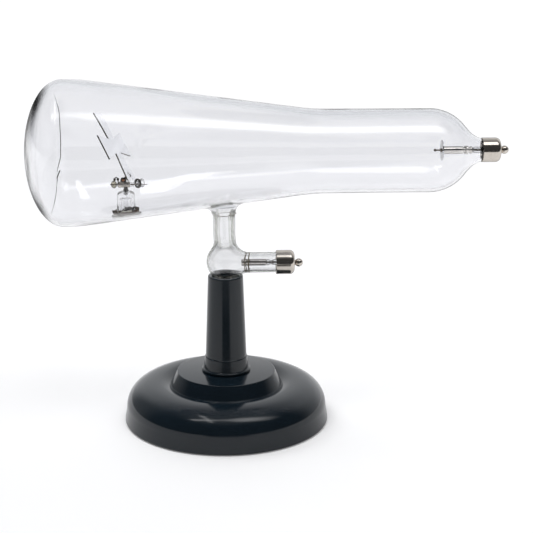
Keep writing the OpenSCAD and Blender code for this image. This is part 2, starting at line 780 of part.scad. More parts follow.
module wire_hook() {
    r = hook_w / 2;
    leg_top = hook_h - r - hook_wire / 2;
    mid = bar_l_screen + 0.5;
    bead_dx = bead_x - pillar_x - mid - r;
    bead_leg = sqrt(pow(bead_d / 2, 2) - pow(bead_dx, 2)) + 0.25;
    color("#5c5348") translate([-pillar_x - mid, 0, bar_z]) {
        translate([0, 0, leg_top]) rotate([90, 0, 0]) rotate_extrude(angle = 180)
            translate([r, 0]) circle(d = hook_wire, $fn = 24);
        translate([-r, 0, bead_leg]) cylinder(d = hook_wire, h = leg_top - bead_leg, $fn = 24);
        translate([r, 0, bar_r + fit]) cylinder(d = hook_wire, h = leg_top - bar_r - fit, $fn = 24);
    }
}

module end_ring() {
    color("#3b332b") translate([-pillar_x + ring_x, 0, bar_z + ring_lift]) rotate([90, 0, -ring_turn])
        rotate_extrude() translate([ring_d / 2, 0]) circle(d = ring_wire, $fn = 24);
}

module ring_bead() {
    r = (ring_d - ring_wire) / 2 - fit;
    color("lightsteelblue") translate([-pillar_x + ring_x, 0, bar_z]) difference() {
        translate([0, 0, ring_lift]) rotate([90, 0, -ring_turn]) turned([[0, -0.6], [r - 0.3, -0.6], [r, -0.3], [r, 0.3],
            [r - 0.3, 0.6], [0, 0.6]]);
        rotate([0, 90, 0]) rod(bar_wire / 2 + fit, -ring_d, ring_d);
    }
}

module tail_wire() {
    color("#8d887f") on_bar() rod(bar_wire / 2, bar_l_cathode - wire_grip + fit, tail_x);
}

module hinge_bracket() {
    ear_y = ear_gap / 2;
    color("#8a8378") difference() {
        union() {
            on_bar() rod(sleeve_out, -pin_back - bracket_l / 2, -pin_back + bracket_l / 2);
            translate([-pillar_x, 0, pillar_top - mast_depth + fit])
                cylinder(r = mast_r, h = bar_rise + mast_depth - sleeve_in - fit);
            for (s = [-1, 1])
                translate([pin_x - ear_w / 2, s * (ear_y + bracket_t / 2) - bracket_t / 2, bar_z + 0.6])
                    cube([ear_w, bracket_t, ear_top - bar_z - 0.6]);
        }
        on_bar() rod(sleeve_in, -pin_back - bracket_l, bracket_l);
        translate([pin_x, 0, pin_z]) rotate([90, 0, 0]) rod(pin_r + fit, -4, 4);
    }
}

module hinge_pin() {
    half = ear_gap / 2 + bracket_t;
    color("#b06a3c") translate([pin_x, 0, pin_z]) rotate([90, 0, 0]) {
        rod(pin_r, -half - pin_head, half + pin_head);
        for (s = [-1, 1]) translate([0, 0, s * (half + fit + pin_head / 2) - pin_head / 2])
            cylinder(r = pin_r + 0.3, h = pin_head);
    }
}

// The lug's foot lies flat on the cross, so it shares the cross's tilt and twist
module on_cross() {
    translate([cross_offset, 0, 0]) rotate([-cross_tilt, 0, 0]) rotate([0, 0, -cross_twist]) children();
}

lug_foot = 2.6;
lug_foot_t = 0.4;

module hinge_lug() {
    half = ear_gap / 2 - 0.3;
    color("#4a4038") at_pin() difference() {
        union() {
            rotate([90, 0, 0]) rod(lug_r, -half, half);
            translate([0, -half, -0.1]) cube([cross_offset - cross_t / 2 - 0.35, 2 * half, 1.1]);
            on_cross() translate([-cross_t / 2 - fit - lug_foot_t, -lug_foot / 2, -0.6])
                cube([lug_foot_t, lug_foot, 3.2]);
        }
        rotate([90, 0, 0]) rod(pin_r + pin_play, -4, 4);
        on_cross() rivet_place() rod(0.5 + fit, -2, 2);
    }
}

// The rivet's axis, its own z along the cross's normal
module rivet_place() {
    translate([0, 0, 1.95]) rotate([0, 90, 0]) children();
}

module cross_rivet() {
    back = -cross_t / 2 - fit - lug_foot_t;
    color("#8d887f") at_pin() on_cross() rivet_place() {
        rod(0.5, back - 0.4, cross_t / 2 + 0.4);
        rod(rivet_d / 2, cross_t / 2 + fit, cross_t / 2 + 0.45);
        rod(rivet_d / 2 - 0.2, back - 0.4, back - fit);
    }
}

module cross_plate() {
    a = cross_a;
    w = arm_tip_w;
    m = arm_root_w;
    color("#c4c6ca") at_pin() difference() {
        on_cross() translate([0, 0, cross_a - foot_reach]) rotate([90, 0, 90])
            linear_extrude(height = cross_t, center = true)
                polygon([for (q = [0:90:270], p = [[-w, a], [w, a], [m, m]])
                    [cos(q) * p[0] + sin(q) * p[1], cos(q) * p[1] - sin(q) * p[0]]]);
        on_cross() rivet_place() rod(0.5 + fit, -2, 2);
        translate([cross_offset - 3, -sleeve_out - 0.6, -foot_reach - 3]) cube([6, 2 * sleeve_out + 1.2, 4.9]);
    }
}

base_shell();
ballast();
bottom_plate();
plate_screw_set();
foot_ring();
post();
post_insert();
post_screw();
post_washer();
socket_cement();
envelope();
neck_glass();
neck_seal();
arm_glass();
arm_seal();
cathode_cap();
cathode_terminal();
cathode_cement();
cathode_sheath();
cathode_lead();
cathode_sleeve();
cathode_disc();
cathode_nose();
anode_cap();
anode_terminal();
anode_cement();
anode_sheath();
anode_lead();
anode_bead();
anode_tube();
pillar_pad();
foot_band();
pillar_glass();
pillar_core();
cross_bar();
end_bead();
screen_wire();
wire_hook();
end_ring();
ring_bead();
tail_wire();
hinge_bracket();
hinge_pin();
hinge_lug();
cross_rivet();
cross_plate();
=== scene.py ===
import json
from math import asin, atan, atan2, cos, degrees, hypot, pi, radians, sin, sqrt, tan

import bpy
import numpy as np
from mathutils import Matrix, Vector, noise


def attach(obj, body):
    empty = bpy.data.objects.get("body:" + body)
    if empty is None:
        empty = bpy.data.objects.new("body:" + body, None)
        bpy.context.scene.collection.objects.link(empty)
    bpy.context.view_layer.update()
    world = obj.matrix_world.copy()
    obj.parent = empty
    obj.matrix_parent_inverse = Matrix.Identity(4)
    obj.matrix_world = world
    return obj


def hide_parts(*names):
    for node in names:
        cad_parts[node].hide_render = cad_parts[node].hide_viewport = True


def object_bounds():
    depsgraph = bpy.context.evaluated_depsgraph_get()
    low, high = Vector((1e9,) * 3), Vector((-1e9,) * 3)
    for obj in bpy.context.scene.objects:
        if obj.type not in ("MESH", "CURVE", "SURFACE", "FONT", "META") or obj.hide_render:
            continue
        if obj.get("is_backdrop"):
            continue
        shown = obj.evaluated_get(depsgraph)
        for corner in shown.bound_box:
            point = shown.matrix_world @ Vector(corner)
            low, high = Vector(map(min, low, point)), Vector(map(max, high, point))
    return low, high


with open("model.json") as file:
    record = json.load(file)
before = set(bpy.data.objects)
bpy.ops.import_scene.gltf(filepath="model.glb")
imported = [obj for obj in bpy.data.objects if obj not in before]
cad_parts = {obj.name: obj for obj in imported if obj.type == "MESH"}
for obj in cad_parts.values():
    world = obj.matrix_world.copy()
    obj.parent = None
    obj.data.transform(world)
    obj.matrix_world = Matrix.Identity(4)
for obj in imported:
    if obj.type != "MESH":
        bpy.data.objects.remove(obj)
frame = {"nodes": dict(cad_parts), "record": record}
loaded_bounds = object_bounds()


# --- Sizes in millimetres, the same as the part's. Angles are in degrees
MM = 0.001
TUBE_Z = 174.0
SCREEN_R, SCREEN_DEPTH, SCREEN_X = 45.1, 23.2, 98.5
BARREL_R, BARREL_X = 25.9, 63.8
SHOULDER_X, SHOULDER_L, SHOULDER_TURN = 126.0, 27.0, 50.0
TIP_FILLET, SWEEP_R, GLASS_T, TIP_R, PRESS_T = 16.0, 130.0, 1.6, 6.7, 3.0
POST_Z, PLINTH_Z = 95.4, 32.6
BULB_Z, BULB_R, NECK_R, NECK_T, PEG_R, PEG_Z, PIP_L = 104.2, 11.85, 7.0, 1.6, 5.0, 65.9, 8.0
NECK_BORE, NECK_SHIFT = 4.1, -0.6
ARM_Z, ARM_R, ARM_CAP_X, ARM_END = 103.5, 6.45, 31.8, 40.4
CAP_R, CAP_L, CAP_T, CAP_ROUND = 7.65, 11.6, 0.35, 3.0
CAP_X, CAP_END, TUBE_END = 158.9, 170.5, 167.5
PILLAR_X, PILLAR_WALL, PILLAR_H = 61.0, 134.341, 15.8
BAR_Z = 154.341
PIN = (-62.35, 0.0, 157.341)


def sind(a):
    return sin(radians(a))


def cosd(a):
    return cos(radians(a))


def tand(a):
    return tan(radians(a))


def steps(a, b, n):
    return [a + (b - a) * i / n for i in range(n + 1)]


_dx, _dr = SCREEN_X + BARREL_X, BARREL_R - SCREEN_R + 2 * SWEEP_R
TAPER = degrees(asin(2 * SWEEP_R / hypot(_dx, _dr)) - atan2(_dr, _dx))
TAPER_X = -SCREEN_X + SWEEP_R * sind(TAPER)
TAPER_R = SCREEN_R - SWEEP_R * (1 - cosd(TAPER))
TIP_SLOPE = degrees(atan(BARREL_R / SHOULDER_L * tand(SHOULDER_TURN)))
TIP_X = (SHOULDER_X + SHOULDER_L * sind(SHOULDER_TURN)
         + (BARREL_R * cosd(SHOULDER_TURN) - TIP_R - TIP_FILLET * (1 - cosd(TIP_SLOPE))) / tand(TIP_SLOPE)
         + TIP_FILLET * sind(TIP_SLOPE))


def glass_radius(x, inset=0.0):
    return TAPER_R - (x - TAPER_X) * tand(TAPER) - inset / cosd(TAPER)


def arc(cx, cy, r, a0, a1, n):
    return [(cx + r * cosd(a), cy + r * sind(a)) for a in steps(a0, a1, n)]


def clamp(t):
    return min(1.0, max(0.0, t))


def ease(t):
    return clamp(t) ** 2 * (3 - 2 * clamp(t))


def circle(n):
    return [2 * pi * k / n for k in range(n)]


def rounded(points, size, n=4):
    """The outline with its corners turned into short curves, at most size mm from each corner."""
    out = []
    for i, p in enumerate(points):
        s = size.get(i, 0) if isinstance(size, dict) else size
        if i in (0, len(points) - 1) or s <= 0:
            out.append(tuple(p))
            continue
        a, p, b = Vector(points[i - 1]), Vector(p), Vector(points[i + 1])
        da, db = a - p, b - p
        if da.length < 1e-6 or db.length < 1e-6 or da.angle(db) > radians(172):
            out.append(tuple(p))
            continue
        k = min(s, da.length * 0.45, db.length * 0.45)
        p0, p1 = p + da.normalized() * k, p + db.normalized() * k
        for t in steps(0, 1, n):
            out.append(tuple(p0 * (1 - t) ** 2 + p * (2 * t * (1 - t)) + p1 * t ** 2))
    return out


def looped(points, size, n=4):
    """The same for a closed outline, whose first corner stays sharp."""
    return rounded([*points, points[0]], size, n)[:-1]


def bead(r, z=0.0, n=12, half=None, swell=lambda t: 1.0):
    """Half the outline of a round bead at height z, r wide and half high."""
    h = half or r
    turns = [pi * k / n for k in range(1, n)]
    return [(0, z - h)] + [(r * sin(t) * swell(t), z - h * cos(t)) for t in turns] + [(0, z + h)]


def waver(x, y, z):
    return noise.noise(Vector((x, y, z)))


# --- Mesh making
def outward(verts, faces, sign=1):
    """Faces turned so that the surface looks out of the solid, or into a hollow with sign -1."""
    v = np.asarray(verts, float)
    volume = sum(np.dot(v[f[0]], np.cross(v[f[i]], v[f[i + 1]])) for f in faces for i in range(1, len(f) - 1))
    if volume * sign < 0:
        faces = [tuple(reversed(f)) for f in faces]
    return verts, faces


def turned(profile, seg=96, closed=False, sign=1):
    """An outline [radius, height] turned round the z axis. With closed, its end joins its start."""
    verts, rings = [], []
    ca = [(cos(a), sin(a)) for a in circle(seg)]
    for r, z in profile:
        if rings and abs(r) < 1e-7 and len(rings[-1]) == 1 and abs(verts[rings[-1][0]][2] - z) < 1e-7:
            continue
        if abs(r) < 1e-7:
            rings.append([len(verts)])
            verts.append((0.0, 0.0, z))
        else:
            rings.append(list(range(len(verts), len(verts) + seg)))
            verts += [(r * c, r * s, z) for c, s in ca]
    faces = []
    pairs = list(zip(rings, rings[1:]))
    if closed:
        pairs.append((rings[-1], rings[0]))
    for a, b in pairs:
        for k in range(seg):
            corners = ((a, k), (b, k), (b, k + 1), (a, k + 1))
            face = tuple(dict.fromkeys(row[i % len(row)] for row, i in corners))
            if len(face) > 2:
                faces.append(face)
    return outward(verts, faces, sign)


def lathe(points, corner, n=4, seg=48):
    """The same with softened corners. An outline that starts off the axis is closed."""
    return turned(rounded(points, corner, n), seg, points[0][0] > 0)


def join(*parts):
    verts, faces = [], []
    for v, f in parts:
        n = len(verts)
        verts += [tuple(p) for p in v]
        faces += [tuple(i + n for i in q) for q in f]
    return verts, faces


def placed(part, fn):
    return [fn(p) for p in part[0]], part[1]


def rot(p, axis, deg):
    c, s = cosd(deg), sind(deg)
    x, y, z = p
    if axis == "x":
        return x, y * c - z * s, y * s + z * c
    if axis == "y":
        return x * c + z * s, y, -x * s + z * c
    return x * c - y * s, x * s + y * c, z


def on_tube(part, z=TUBE_Z):
    return [(p[2], p[1], z - p[0]) for p in part[0]], part[1]


def on_arm(part, drop=0.0):
    return on_tube(part, ARM_Z - drop)


def moved(part, dx=0.0, dy=0.0, dz=0.0):
    return [(p[0] + dx, p[1] + dy, p[2] + dz) for p in part[0]], part[1]


def sweep(path, radius, sides=16, closed=False):
    """A round wire along a path. radius is a number or one per point."""
    pts = [Vector(p) for p in path]
    n = len(pts)
    rad = radius if isinstance(radius, (list, tuple)) else [radius] * n
    tangents = []
    for i in range(n):
        a, b = (i - 1, (i + 1) % n) if closed else (max(i - 1, 0), min(i + 1, n - 1))
        tangents.append((pts[b] - pts[a]).normalized())
    up = Vector((0, 0, 1)) if abs(tangents[0].z) < 0.9 else Vector((1, 0, 0))
    u = tangents[0].cross(up).normalized()
    verts, faces = [], []
    for i in range(n):
        t = tangents[i]
        u = (u - t * u.dot(t)).normalized()
        w = t.cross(u)
        for a in circle(sides):
            verts.append(tuple(pts[i] + (u * cos(a) + w * sin(a)) * rad[i]))
    for i in range(n if closed else n - 1):
        j = (i + 1) % n
        for k in range(sides):
            m = (k + 1) % sides
            faces.append((i * sides + k, j * sides + k, j * sides + m, i * sides + m))
    if not closed:
        for i, d in ((0, -1), (n - 1, 1)):
            c = len(verts)
            verts.append(tuple(pts[i] + tangents[i] * d * rad[i] * 0.35))
            for k in range(sides):
                faces.append((c, i * sides + k, i * sides + (k + 1) % sides)[::-d])
    return outward(verts, faces)


def slab(outline, t, edge, fn, lift=0.0):
    """A flat sheet with softened edges, and the faces of its cut edge. fn places (across, along, up)."""
    n = len(outline)
    c = [Vector(p) for p in outline]
    area2 = sum(c[i].x * c[(i + 1) % n].y - c[(i + 1) % n].x * c[i].y for i in range(n))
    sign = 1 if area2 > 0 else -1
    out = []
    for i in range(n):
        a, b = [Vector((e.y, -e.x)).normalized() * sign for e in (c[i] - c[i - 1], c[(i + 1) % n] - c[i])]
        out.append((a + b).normalized() if (a + b).length > 1e-6 else b)
    verts, faces = [], []
    for off, w in ((-edge, -t / 2), (0, -t / 2 + edge), (0, t / 2 - edge), (-edge, t / 2)):
        for q, m in zip(c, out):
            q = q + m * off
            verts.append((w, q.x, q.y + lift))
    for k in range(3):
        for i in range(n):
            j = (i + 1) % n
            faces.append((k * n + i, k * n + j, (k + 1) * n + j, (k + 1) * n + i))
    cut_faces = range(len(faces))
    faces += [tuple(range(n))[::-1], tuple(range(3 * n, 4 * n))]
    verts, faces = outward(verts, faces)
    return ([fn(v) for v in verts], faces), cut_faces


def add_object(name, data):
    ob = bpy.data.objects.new(name, data)
    bpy.context.scene.collection.objects.link(ob)
    return ob


def mesh_object(name, verts, faces):
    me = bpy.data.meshes.new(name)
    me.from_pydata(verts, [], [tuple(f) for f in faces])
    return add_object(name, me)


def fused(a, b):
    """Two closed meshes as one skin."""
    obs = [mesh_object("part", [tuple(v) for v in part[0]], part[1]) for part in (a, b)]
    mod = obs[0].modifiers.new("fuse", "BOOLEAN")
    mod.operation, mod.solver, mod.object = "UNION", "MANIFOLD", obs[1]
    me = obs[0].evaluated_get(bpy.context.evaluated_depsgraph_get()).to_mesh()
    part = [tuple(v.co) for v in me.vertices], [tuple(q.vertices) for q in me.polygons]
    for ob in obs:
        me = ob.data
        bpy.data.objects.remove(ob)
        bpy.data.meshes.remove(me)
    return part


def piece(name, part, material, node="", body="tube", sharp=38):
    """Makes the mesh object, in metres, and hides the CAD nodes that it stands in for."""
    ob = mesh_object(name, [(x * MM, y * MM, z * MM) for x, y, z in part[0]], part[1])
    me = ob.data
    me.validate()
    me.polygons.foreach_set("use_smooth", [True] * len(me.polygons))
    me.set_sharp_from_angle(angle=radians(sharp))
    me.update()
    me.materials.append(M[material])
    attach(ob, body)
    if node:
        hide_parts(*node.split())
    return ob


# --- Materials
class Graph:
    """The node tree of a material, a lamp or the world, built a node at a time."""

    def __init__(self, owner, empty=True):
        owner.use_nodes = True
        self.tree, self.coords = owner.node_tree, None
        if empty:
            self.tree.nodes.clear()

    def add(self, kind, sockets=None, **values):
        n = self.tree.nodes.new("ShaderNode" + kind)
        for k, v in values.items():
            setattr(n, k, v)
        for k, v in (sockets or {}).items():
            self.feed(n.inputs[k], v)
        return n

    def feed(self, socket, value):
        if hasattr(value, "is_output"):
            self.tree.links.new(value, socket)
        elif isinstance(value, (tuple, list)) and len(value) == 3 and socket.type == "RGBA":
            socket.default_value = (*value, 1.0)
        else:
            socket.default_value = value

    def position(self, stretch=(1, 1, 1)):
        if self.coords is None:
            self.coords = self.add("TexCoord").outputs["Object"]
        if tuple(stretch) == (1, 1, 1):
            return self.coords
        return self.add("Mapping", {"Vector": self.coords, "Scale": stretch}).outputs["Vector"]

    def axes(self, source=None):
        return list(self.add("SeparateXYZ", {0: source or self.position()}).outputs)

    def facing(self):
        return self.add("LayerWeight", {"Blend": 0.5}).outputs["Facing"]

    def noise(self, per_m, detail=3.0, rough=0.55, stretch=(1, 1, 1)):
        return self.add("TexNoise", {"Vector": self.position(stretch), "Scale": per_m, "Detail": detail,
                                     "Roughness": rough}).outputs["Fac"]

    def ramp(self, fac, *stops):
        r = self.add("ValToRGB", {"Fac": fac})
        while len(r.color_ramp.elements) < len(stops):
            r.color_ramp.elements.new(0.5)
        for e, (at, c) in zip(r.color_ramp.elements, stops):
            e.position, e.color = at, (c, c, c, 1.0)
        return r.outputs["Color"]

    def rise(self, fac, a, b):
        return self.ramp(fac, (a, 0.0), (b, 1.0))

    def span(self, fac, a, b, c=0.0, d=1.0, kind="LINEAR"):
        """fac from a..b mapped to c..d, clamped"""
        return self.add("MapRange", {"Value": fac, "From Min": a, "From Max": b, "To Min": c, "To Max": d},
                        interpolation_type=kind).outputs["Result"]

    def soft(self, *values):
        return self.span(*values, kind="SMOOTHSTEP")

    def math(self, op, a, b=0.0):
        return self.add("Math", {0: a, 1: b}, operation=op).outputs[0]

    def mul(self, a, *others):
        for b in others:
            a = self.math("MULTIPLY", a, b)
        return a

    def plus(self, a, b):
        return self.math("ADD", a, b)

    def minus(self, a, b):
        return self.math("SUBTRACT", a, b)

    def larger(self, a, b):
        return self.math("MAXIMUM", a, b)

    def size(self, a):
        return self.math("ABSOLUTE", a)

    def mix(self, fac, a, b):
        n = self.add("Mix", {"Factor": fac}, data_type="RGBA")
        for socket, v in zip([s for s in n.inputs if s.type == "RGBA"], (a, b)):
            self.feed(socket, v)
        return [s for s in n.outputs if s.type == "RGBA"][0]

    def bump(self, height, strength, distance, normal=None):
        n = self.add("Bump", {"Height": height, "Strength": strength, "Distance": distance})
        if normal is not None:
            self.feed(n.inputs["Normal"], normal)
        return n.outputs["Normal"]

    def principled(self, **values):
        return self.add("BsdfPrincipled", {k.replace("_", " "): v for k, v in values.items()}).outputs[0]

    def clear(self, colour):
        return self.add("BsdfTransparent", {"Color": colour}).outputs[0]

    def over(self, fac, below, above):
        return self.add("MixShader", {0: fac, 1: below, 2: above}).outputs[0]

    def show(self, surface, kind="Material"):
        self.add("Output" + kind, {"Surface": surface})


M = {}


def material(name):
    M[name] = bpy.data.materials.new(name)
    return Graph(M[name])


def plastic(name, colour, rough, marks=False):
    """Gloss plastic with dust and fine scuffs, and with the marks of turning where asked."""
    g = material(name)
    patch = g.noise(38, 4)
    fine = g.noise(900, 2)
    dust = g.rise(g.noise(2600, 2, 0.7), 0.60, 0.74)
    c = g.mix(patch, [v * 0.8 for v in colour], [v * 1.25 for v in colour])
    c = g.mix(g.mul(dust, 0.10), c, (0.10, 0.105, 0.11))
    scuff = g.rise(g.noise(300, 6, 0.8, (1, 1, 6) if marks else (1, 1, 1)), 0.5, 0.8)
    r = g.plus(g.span(patch, 0.3, 0.7, *rough), g.mul(scuff, 0.06))
    normal = g.bump(fine, 0.05, 0.00003)
    if marks:
        normal = g.bump(g.noise(120, 3, 0.6, (0.05, 0.05, 12)), 0.18, 0.00005, normal)
    g.show(g.principled(Base_Color=c, Roughness=r, IOR=1.46, Normal=normal))


def metal(name, colour, dark, rough, brush=(1, 1, 1), wear=0.35, bump=0.12, painted_rim=None, painted_rim_at=(0.62, 0.88)):
    """Metal with stains, drawn along brush, and with a painted dark edge colour where it turns away: painted
    shade.
    """
    g = material(name)
    patch = g.noise(160, 4)
    lines = g.noise(700, 3, 0.6, brush)
    stain = g.rise(g.noise(420, 5, 0.7), 0.48, 0.72)
    c = g.mix(patch, colour, [v * 0.9 for v in colour])
    c = g.mix(g.mul(stain, wear), c, dark)
    # painted shade: the edge colour darkens the metal where it turns away
    if painted_rim:
        c = g.mix(g.rise(g.facing(), painted_rim_at[0], painted_rim_at[1]), c, painted_rim)
    r = g.plus(g.span(lines, 0.3, 0.7, *rough), g.mul(stain, 0.10))
    g.show(g.principled(Base_Color=c, Roughness=r, Metallic=1.0, Normal=g.bump(lines, bump, 0.00003)))


def dull(name, light, dark, rough, grain, bump=0.5, metallic=0.0):
    g = material(name)
    patch = g.noise(grain * 0.2, 5, 0.65)
    fine = g.noise(grain * 3, 3, 0.7)
    c = g.mix(g.rise(patch, 0.35, 0.68), light, dark)
    r = g.span(fine, 0.3, 0.7, *rough)
    g.show(g.principled(Base_Color=c, Roughness=r, Metallic=metallic, Normal=g.bump(fine, bump, 0.0001)))


FACE_TINT = (0.918, 0.920, 0.934)


def at_neck(g, x, z):
    """1 on the neck below the body, 0 on the body, the bulb and the arm"""
    across = g.size(x)
    low = g.larger(g.soft(across, 0.030, 0.022), g.soft(z, 0.124, 0.120))
    low = g.mul(low, g.soft(across, 0.056, 0.047))
    return g.mul(g.soft(z, 0.1405, 0.1370), low)


def outer_skin(g):
    """The outside: face and edge colour, how far it counts as edge, and the painted shade of dark outlines on
    its domed end, barrel and shoulder.
    """
    x, y, z = g.axes()
    f = g.facing()
    neck = at_neck(g, x, z)
    bulb = g.soft(z, 0.1155, 0.1125)
    edge = g.mix(g.soft(x, 0.03, 0.10), (0.60, 0.61, 0.62), (0.10, 0.11, 0.09))
    edge = g.mix(neck, edge, (0.16, 0.17, 0.15))
    # painted shade: across the top of the tube the face tint turns grey where the wall turns away
    crown = g.mix(g.soft(x, 0.0, 0.06), g.soft(f, 0.38, 0.68), g.soft(f, 0.22, 0.52))
    crown = g.mul(crown, g.soft(z, 0.180, 0.190))
    face = g.mix(crown, FACE_TINT, (0.66, 0.67, 0.70))
    face = g.mix(neck, face, (0.885, 0.888, 0.895))
    stem = g.mix(bulb, g.ramp(f, (0.20, 0.0), (0.42, 0.45), (0.62, 0.55), (0.85, 1.0)),
                 g.rise(f, 0.36, 0.66))
    along = g.mix(neck, g.rise(f, 0.70, 0.90), stem)
    # painted shade: a see-through dark outline round the dome, strongest at its top
    dome = g.soft(x, -0.1030, -0.1120)
    far = g.soft(g.size(g.minus(z, 0.172)), 0.002, 0.032)
    depth = g.plus(g.mul(far, 0.40), g.soft(z, 0.197, 0.207, 0.32, 0.58))
    painted_rim = g.mix(far, g.ramp(f, (0.72, 0.0), (0.80, 0.45), (0.86, 0.95)),
                g.ramp(f, (0.52, 0.0), (0.57, 0.30), (0.61, 0.55), (0.65, 0.80), (0.70, 0.95), (0.76, 0.98)))
    painted_rim = g.mul(painted_rim, dome, depth)
    # painted shade: the dark outline along the barrel and the shoulder
    line = g.mul(g.soft(x, 0.02, 0.07), g.soft(x, 0.110, 0.140, 0.25, 0.50))
    line = g.mul(g.rise(f, 0.75, 0.88), line)
    painted_rim = g.plus(painted_rim, g.mul(line, g.minus(1.0, neck)))
    return face, edge, g.mix(dome, along, (0, 0, 0)), painted_rim, (0.022, 0.026, 0.018)


def inner_skin(g):
    """The same for the inside. In the heavy tubing of the neck it turns dark where the bore mirrors, a
    painted shade of see-through grey.
    """
    x, y, z = g.axes()
    f = g.facing()
    neck = at_neck(g, x, z)
    dome = g.soft(x, -0.104, -0.112)
    edge = g.mix(g.soft(x, 0.03, 0.12), (0.55, 0.56, 0.57), (0.30, 0.31, 0.30))
    face = g.mix(neck, FACE_TINT, (0.90, 0.902, 0.91))
    along = g.mix(g.larger(neck, g.mul(dome, 0.75)), g.rise(f, 0.68, 0.92), (0, 0, 0))
    # painted shade: see-through grey in the neck where the bore mirrors
    painted_veil = g.ramp(f, (0.24, 0.0), (0.31, 0.95), (0.42, 0.85), (0.56, 0.5), (0.75, 0.3), (1.0, 0.2))
    painted_veil = g.mul(painted_veil, g.soft(z, 0.1095, 0.1155, 0.22, 1.0), neck)
    return face, edge, along, painted_veil, (0.66, 0.67, 0.64)


def glass(name, tint, edge=None, rough=0.0, waves=0.02, walls=(0.45, 0.85)):
    """Clear glass. It takes the edge tint where it is seen along the wall, and lets lamps through."""
    g = material(name)
    patch = g.noise(45, 3)
    painted_veil = None
    if callable(tint):
        face, edge, along, painted_veil, shade = tint(g)
    else:
        face, along = tint, g.rise(g.facing(), walls[0], walls[1])
    face = g.mix(g.span(patch, 0.3, 0.7, 0.0, 0.12), face, (1, 1, 1))
    solid = g.principled(Base_Color=g.mix(along, face, edge), IOR=1.49, Transmission_Weight=1.0,
                         Roughness=g.span(g.noise(240, 4), 0.45, 0.8, rough, rough + 0.012),
                         Normal=g.bump(g.noise(60, 2, 0.5, (0.35, 1, 1)), waves, 0.0006))
    clear, through = (0.96, 0.96, 0.96), g.add("LightPath").outputs["Is Shadow Ray"]
    # painted shade: where the skin asks for it, a see-through shade colour is mixed in place of the glass
    if painted_veil is not None:
        clear = g.mix(through, shade, clear)
        through = g.larger(through, painted_veil)
    g.show(g.over(through, solid, g.clear(clear)))


def thread(name, light, dark, through):
    """Coloured glass so thin that it only darkens what lies behind it: seams and seal rings."""
    g = material(name)
    streak = g.noise(900, 4, 0.65)
    c = g.mix(g.rise(streak, 0.35, 0.65), light, dark)
    solid = g.principled(Base_Color=c, Roughness=g.span(streak, 0.3, 0.7, 0.175, 0.325),
                         Normal=g.bump(streak, 0.2, 0.00005))
    g.show(g.over(g.span(streak, 0.3, 0.7, through - 0.15, through + 0.15), solid,
                  g.clear(g.mix(0.5, c, (1, 1, 1)))))


plastic("base_plastic", (0.0050, 0.0100, 0.0150), (0.09, 0.15))
plastic("post_plastic", (0.0046, 0.0095, 0.0140), (0.11, 0.17), marks=True)
dull("plate_plastic", (0.030, 0.031, 0.033), (0.018, 0.019, 0.021), (0.5, 0.7), 700)
dull("ballast_iron", (0.17, 0.165, 0.16), (0.10, 0.07, 0.05), (0.55, 0.8), 400, 0.7, 1.0)
metal("zinc_steel", (0.62, 0.63, 0.65), (0.36, 0.37, 0.40), (0.24, 0.38))
dull("foot_rubber", (0.022, 0.022, 0.022), (0.012, 0.012, 0.012), (0.7, 0.9), 900, 0.4)
metal("insert_brass", (0.70, 0.50, 0.22), (0.36, 0.24, 0.11), (0.22, 0.35))
dull("cement", (0.74, 0.70, 0.62), (0.60, 0.55, 0.46), (0.75, 0.95), 800, 0.6)
glass("clear_glass", outer_skin)
glass("bore_glass", inner_skin)
glass("neck_glass", (0.905, 0.907, 0.915), (0.40, 0.41, 0.38))
thread("seal_glass", (0.50, 0.43, 0.32), (0.12, 0.10, 0.07), 0.58)
thread("seam_line", (0.05, 0.055, 0.05), (0.02, 0.02, 0.018), 0.25)
glass("inner_glass", (0.96, 0.96, 0.965), (0.14, 0.14, 0.13), walls=(0.58, 0.92))
glass("wire_glass", (0.90, 0.90, 0.90), (0.02, 0.02, 0.017), walls=(0.20, 0.55))
glass("pad_glass", (0.88, 0.87, 0.79), (0.62, 0.60, 0.48), 0.10, walls=(0.2, 0.8), waves=0.3)
glass("bead_glass", (0.42, 0.39, 0.29), (0.03, 0.026, 0.018), walls=(0.1, 0.5))
# painted shade: the dark edge colours of the nickel, the electrodes and the disc
PAINTED_DARK_RIM = (0.10, 0.09, 0.08)
metal("nickel", (0.67, 0.62, 0.56), (0.42, 0.37, 0.30), (0.10, 0.18), wear=0.28, painted_rim=PAINTED_DARK_RIM,
      painted_rim_at=(0.58, 0.84))
metal("electrode_metal", (0.84, 0.81, 0.77), (0.50, 0.44, 0.38), (0.06, 0.12), bump=0.04, wear=0.2,
      painted_rim=PAINTED_DARK_RIM, painted_rim_at=(0.42, 0.72))
metal("disc_metal", (0.84, 0.85, 0.87), (0.50, 0.49, 0.48), (0.10, 0.2), bump=0.05, wear=0.6,
      painted_rim=(0.32, 0.31, 0.30))
metal("cross_sheet", (0.99, 0.99, 1.0), (0.94, 0.94, 0.95), (0.06, 0.12), (1, 0.08, 1), 0.2, 0.03)
metal("cut_edge", (0.11, 0.095, 0.07), (0.05, 0.04, 0.03), (0.35, 0.5), wear=0.5)
metal("lead_wire", (0.22, 0.19, 0.16), (0.09, 0.07, 0.055), (0.2, 0.35))
metal("band_metal", (0.15, 0.10, 0.065), (0.02, 0.015, 0.010), (0.10, 0.20), wear=0.95, bump=0.3)
metal("hinge_metal", (0.050, 0.040, 0.030), (0.012, 0.010, 0.008), (0.16, 0.30), wear=0.6)
metal("pin_copper", (0.44, 0.19, 0.10), (0.18, 0.08, 0.04), (0.2, 0.35), wear=0.5)


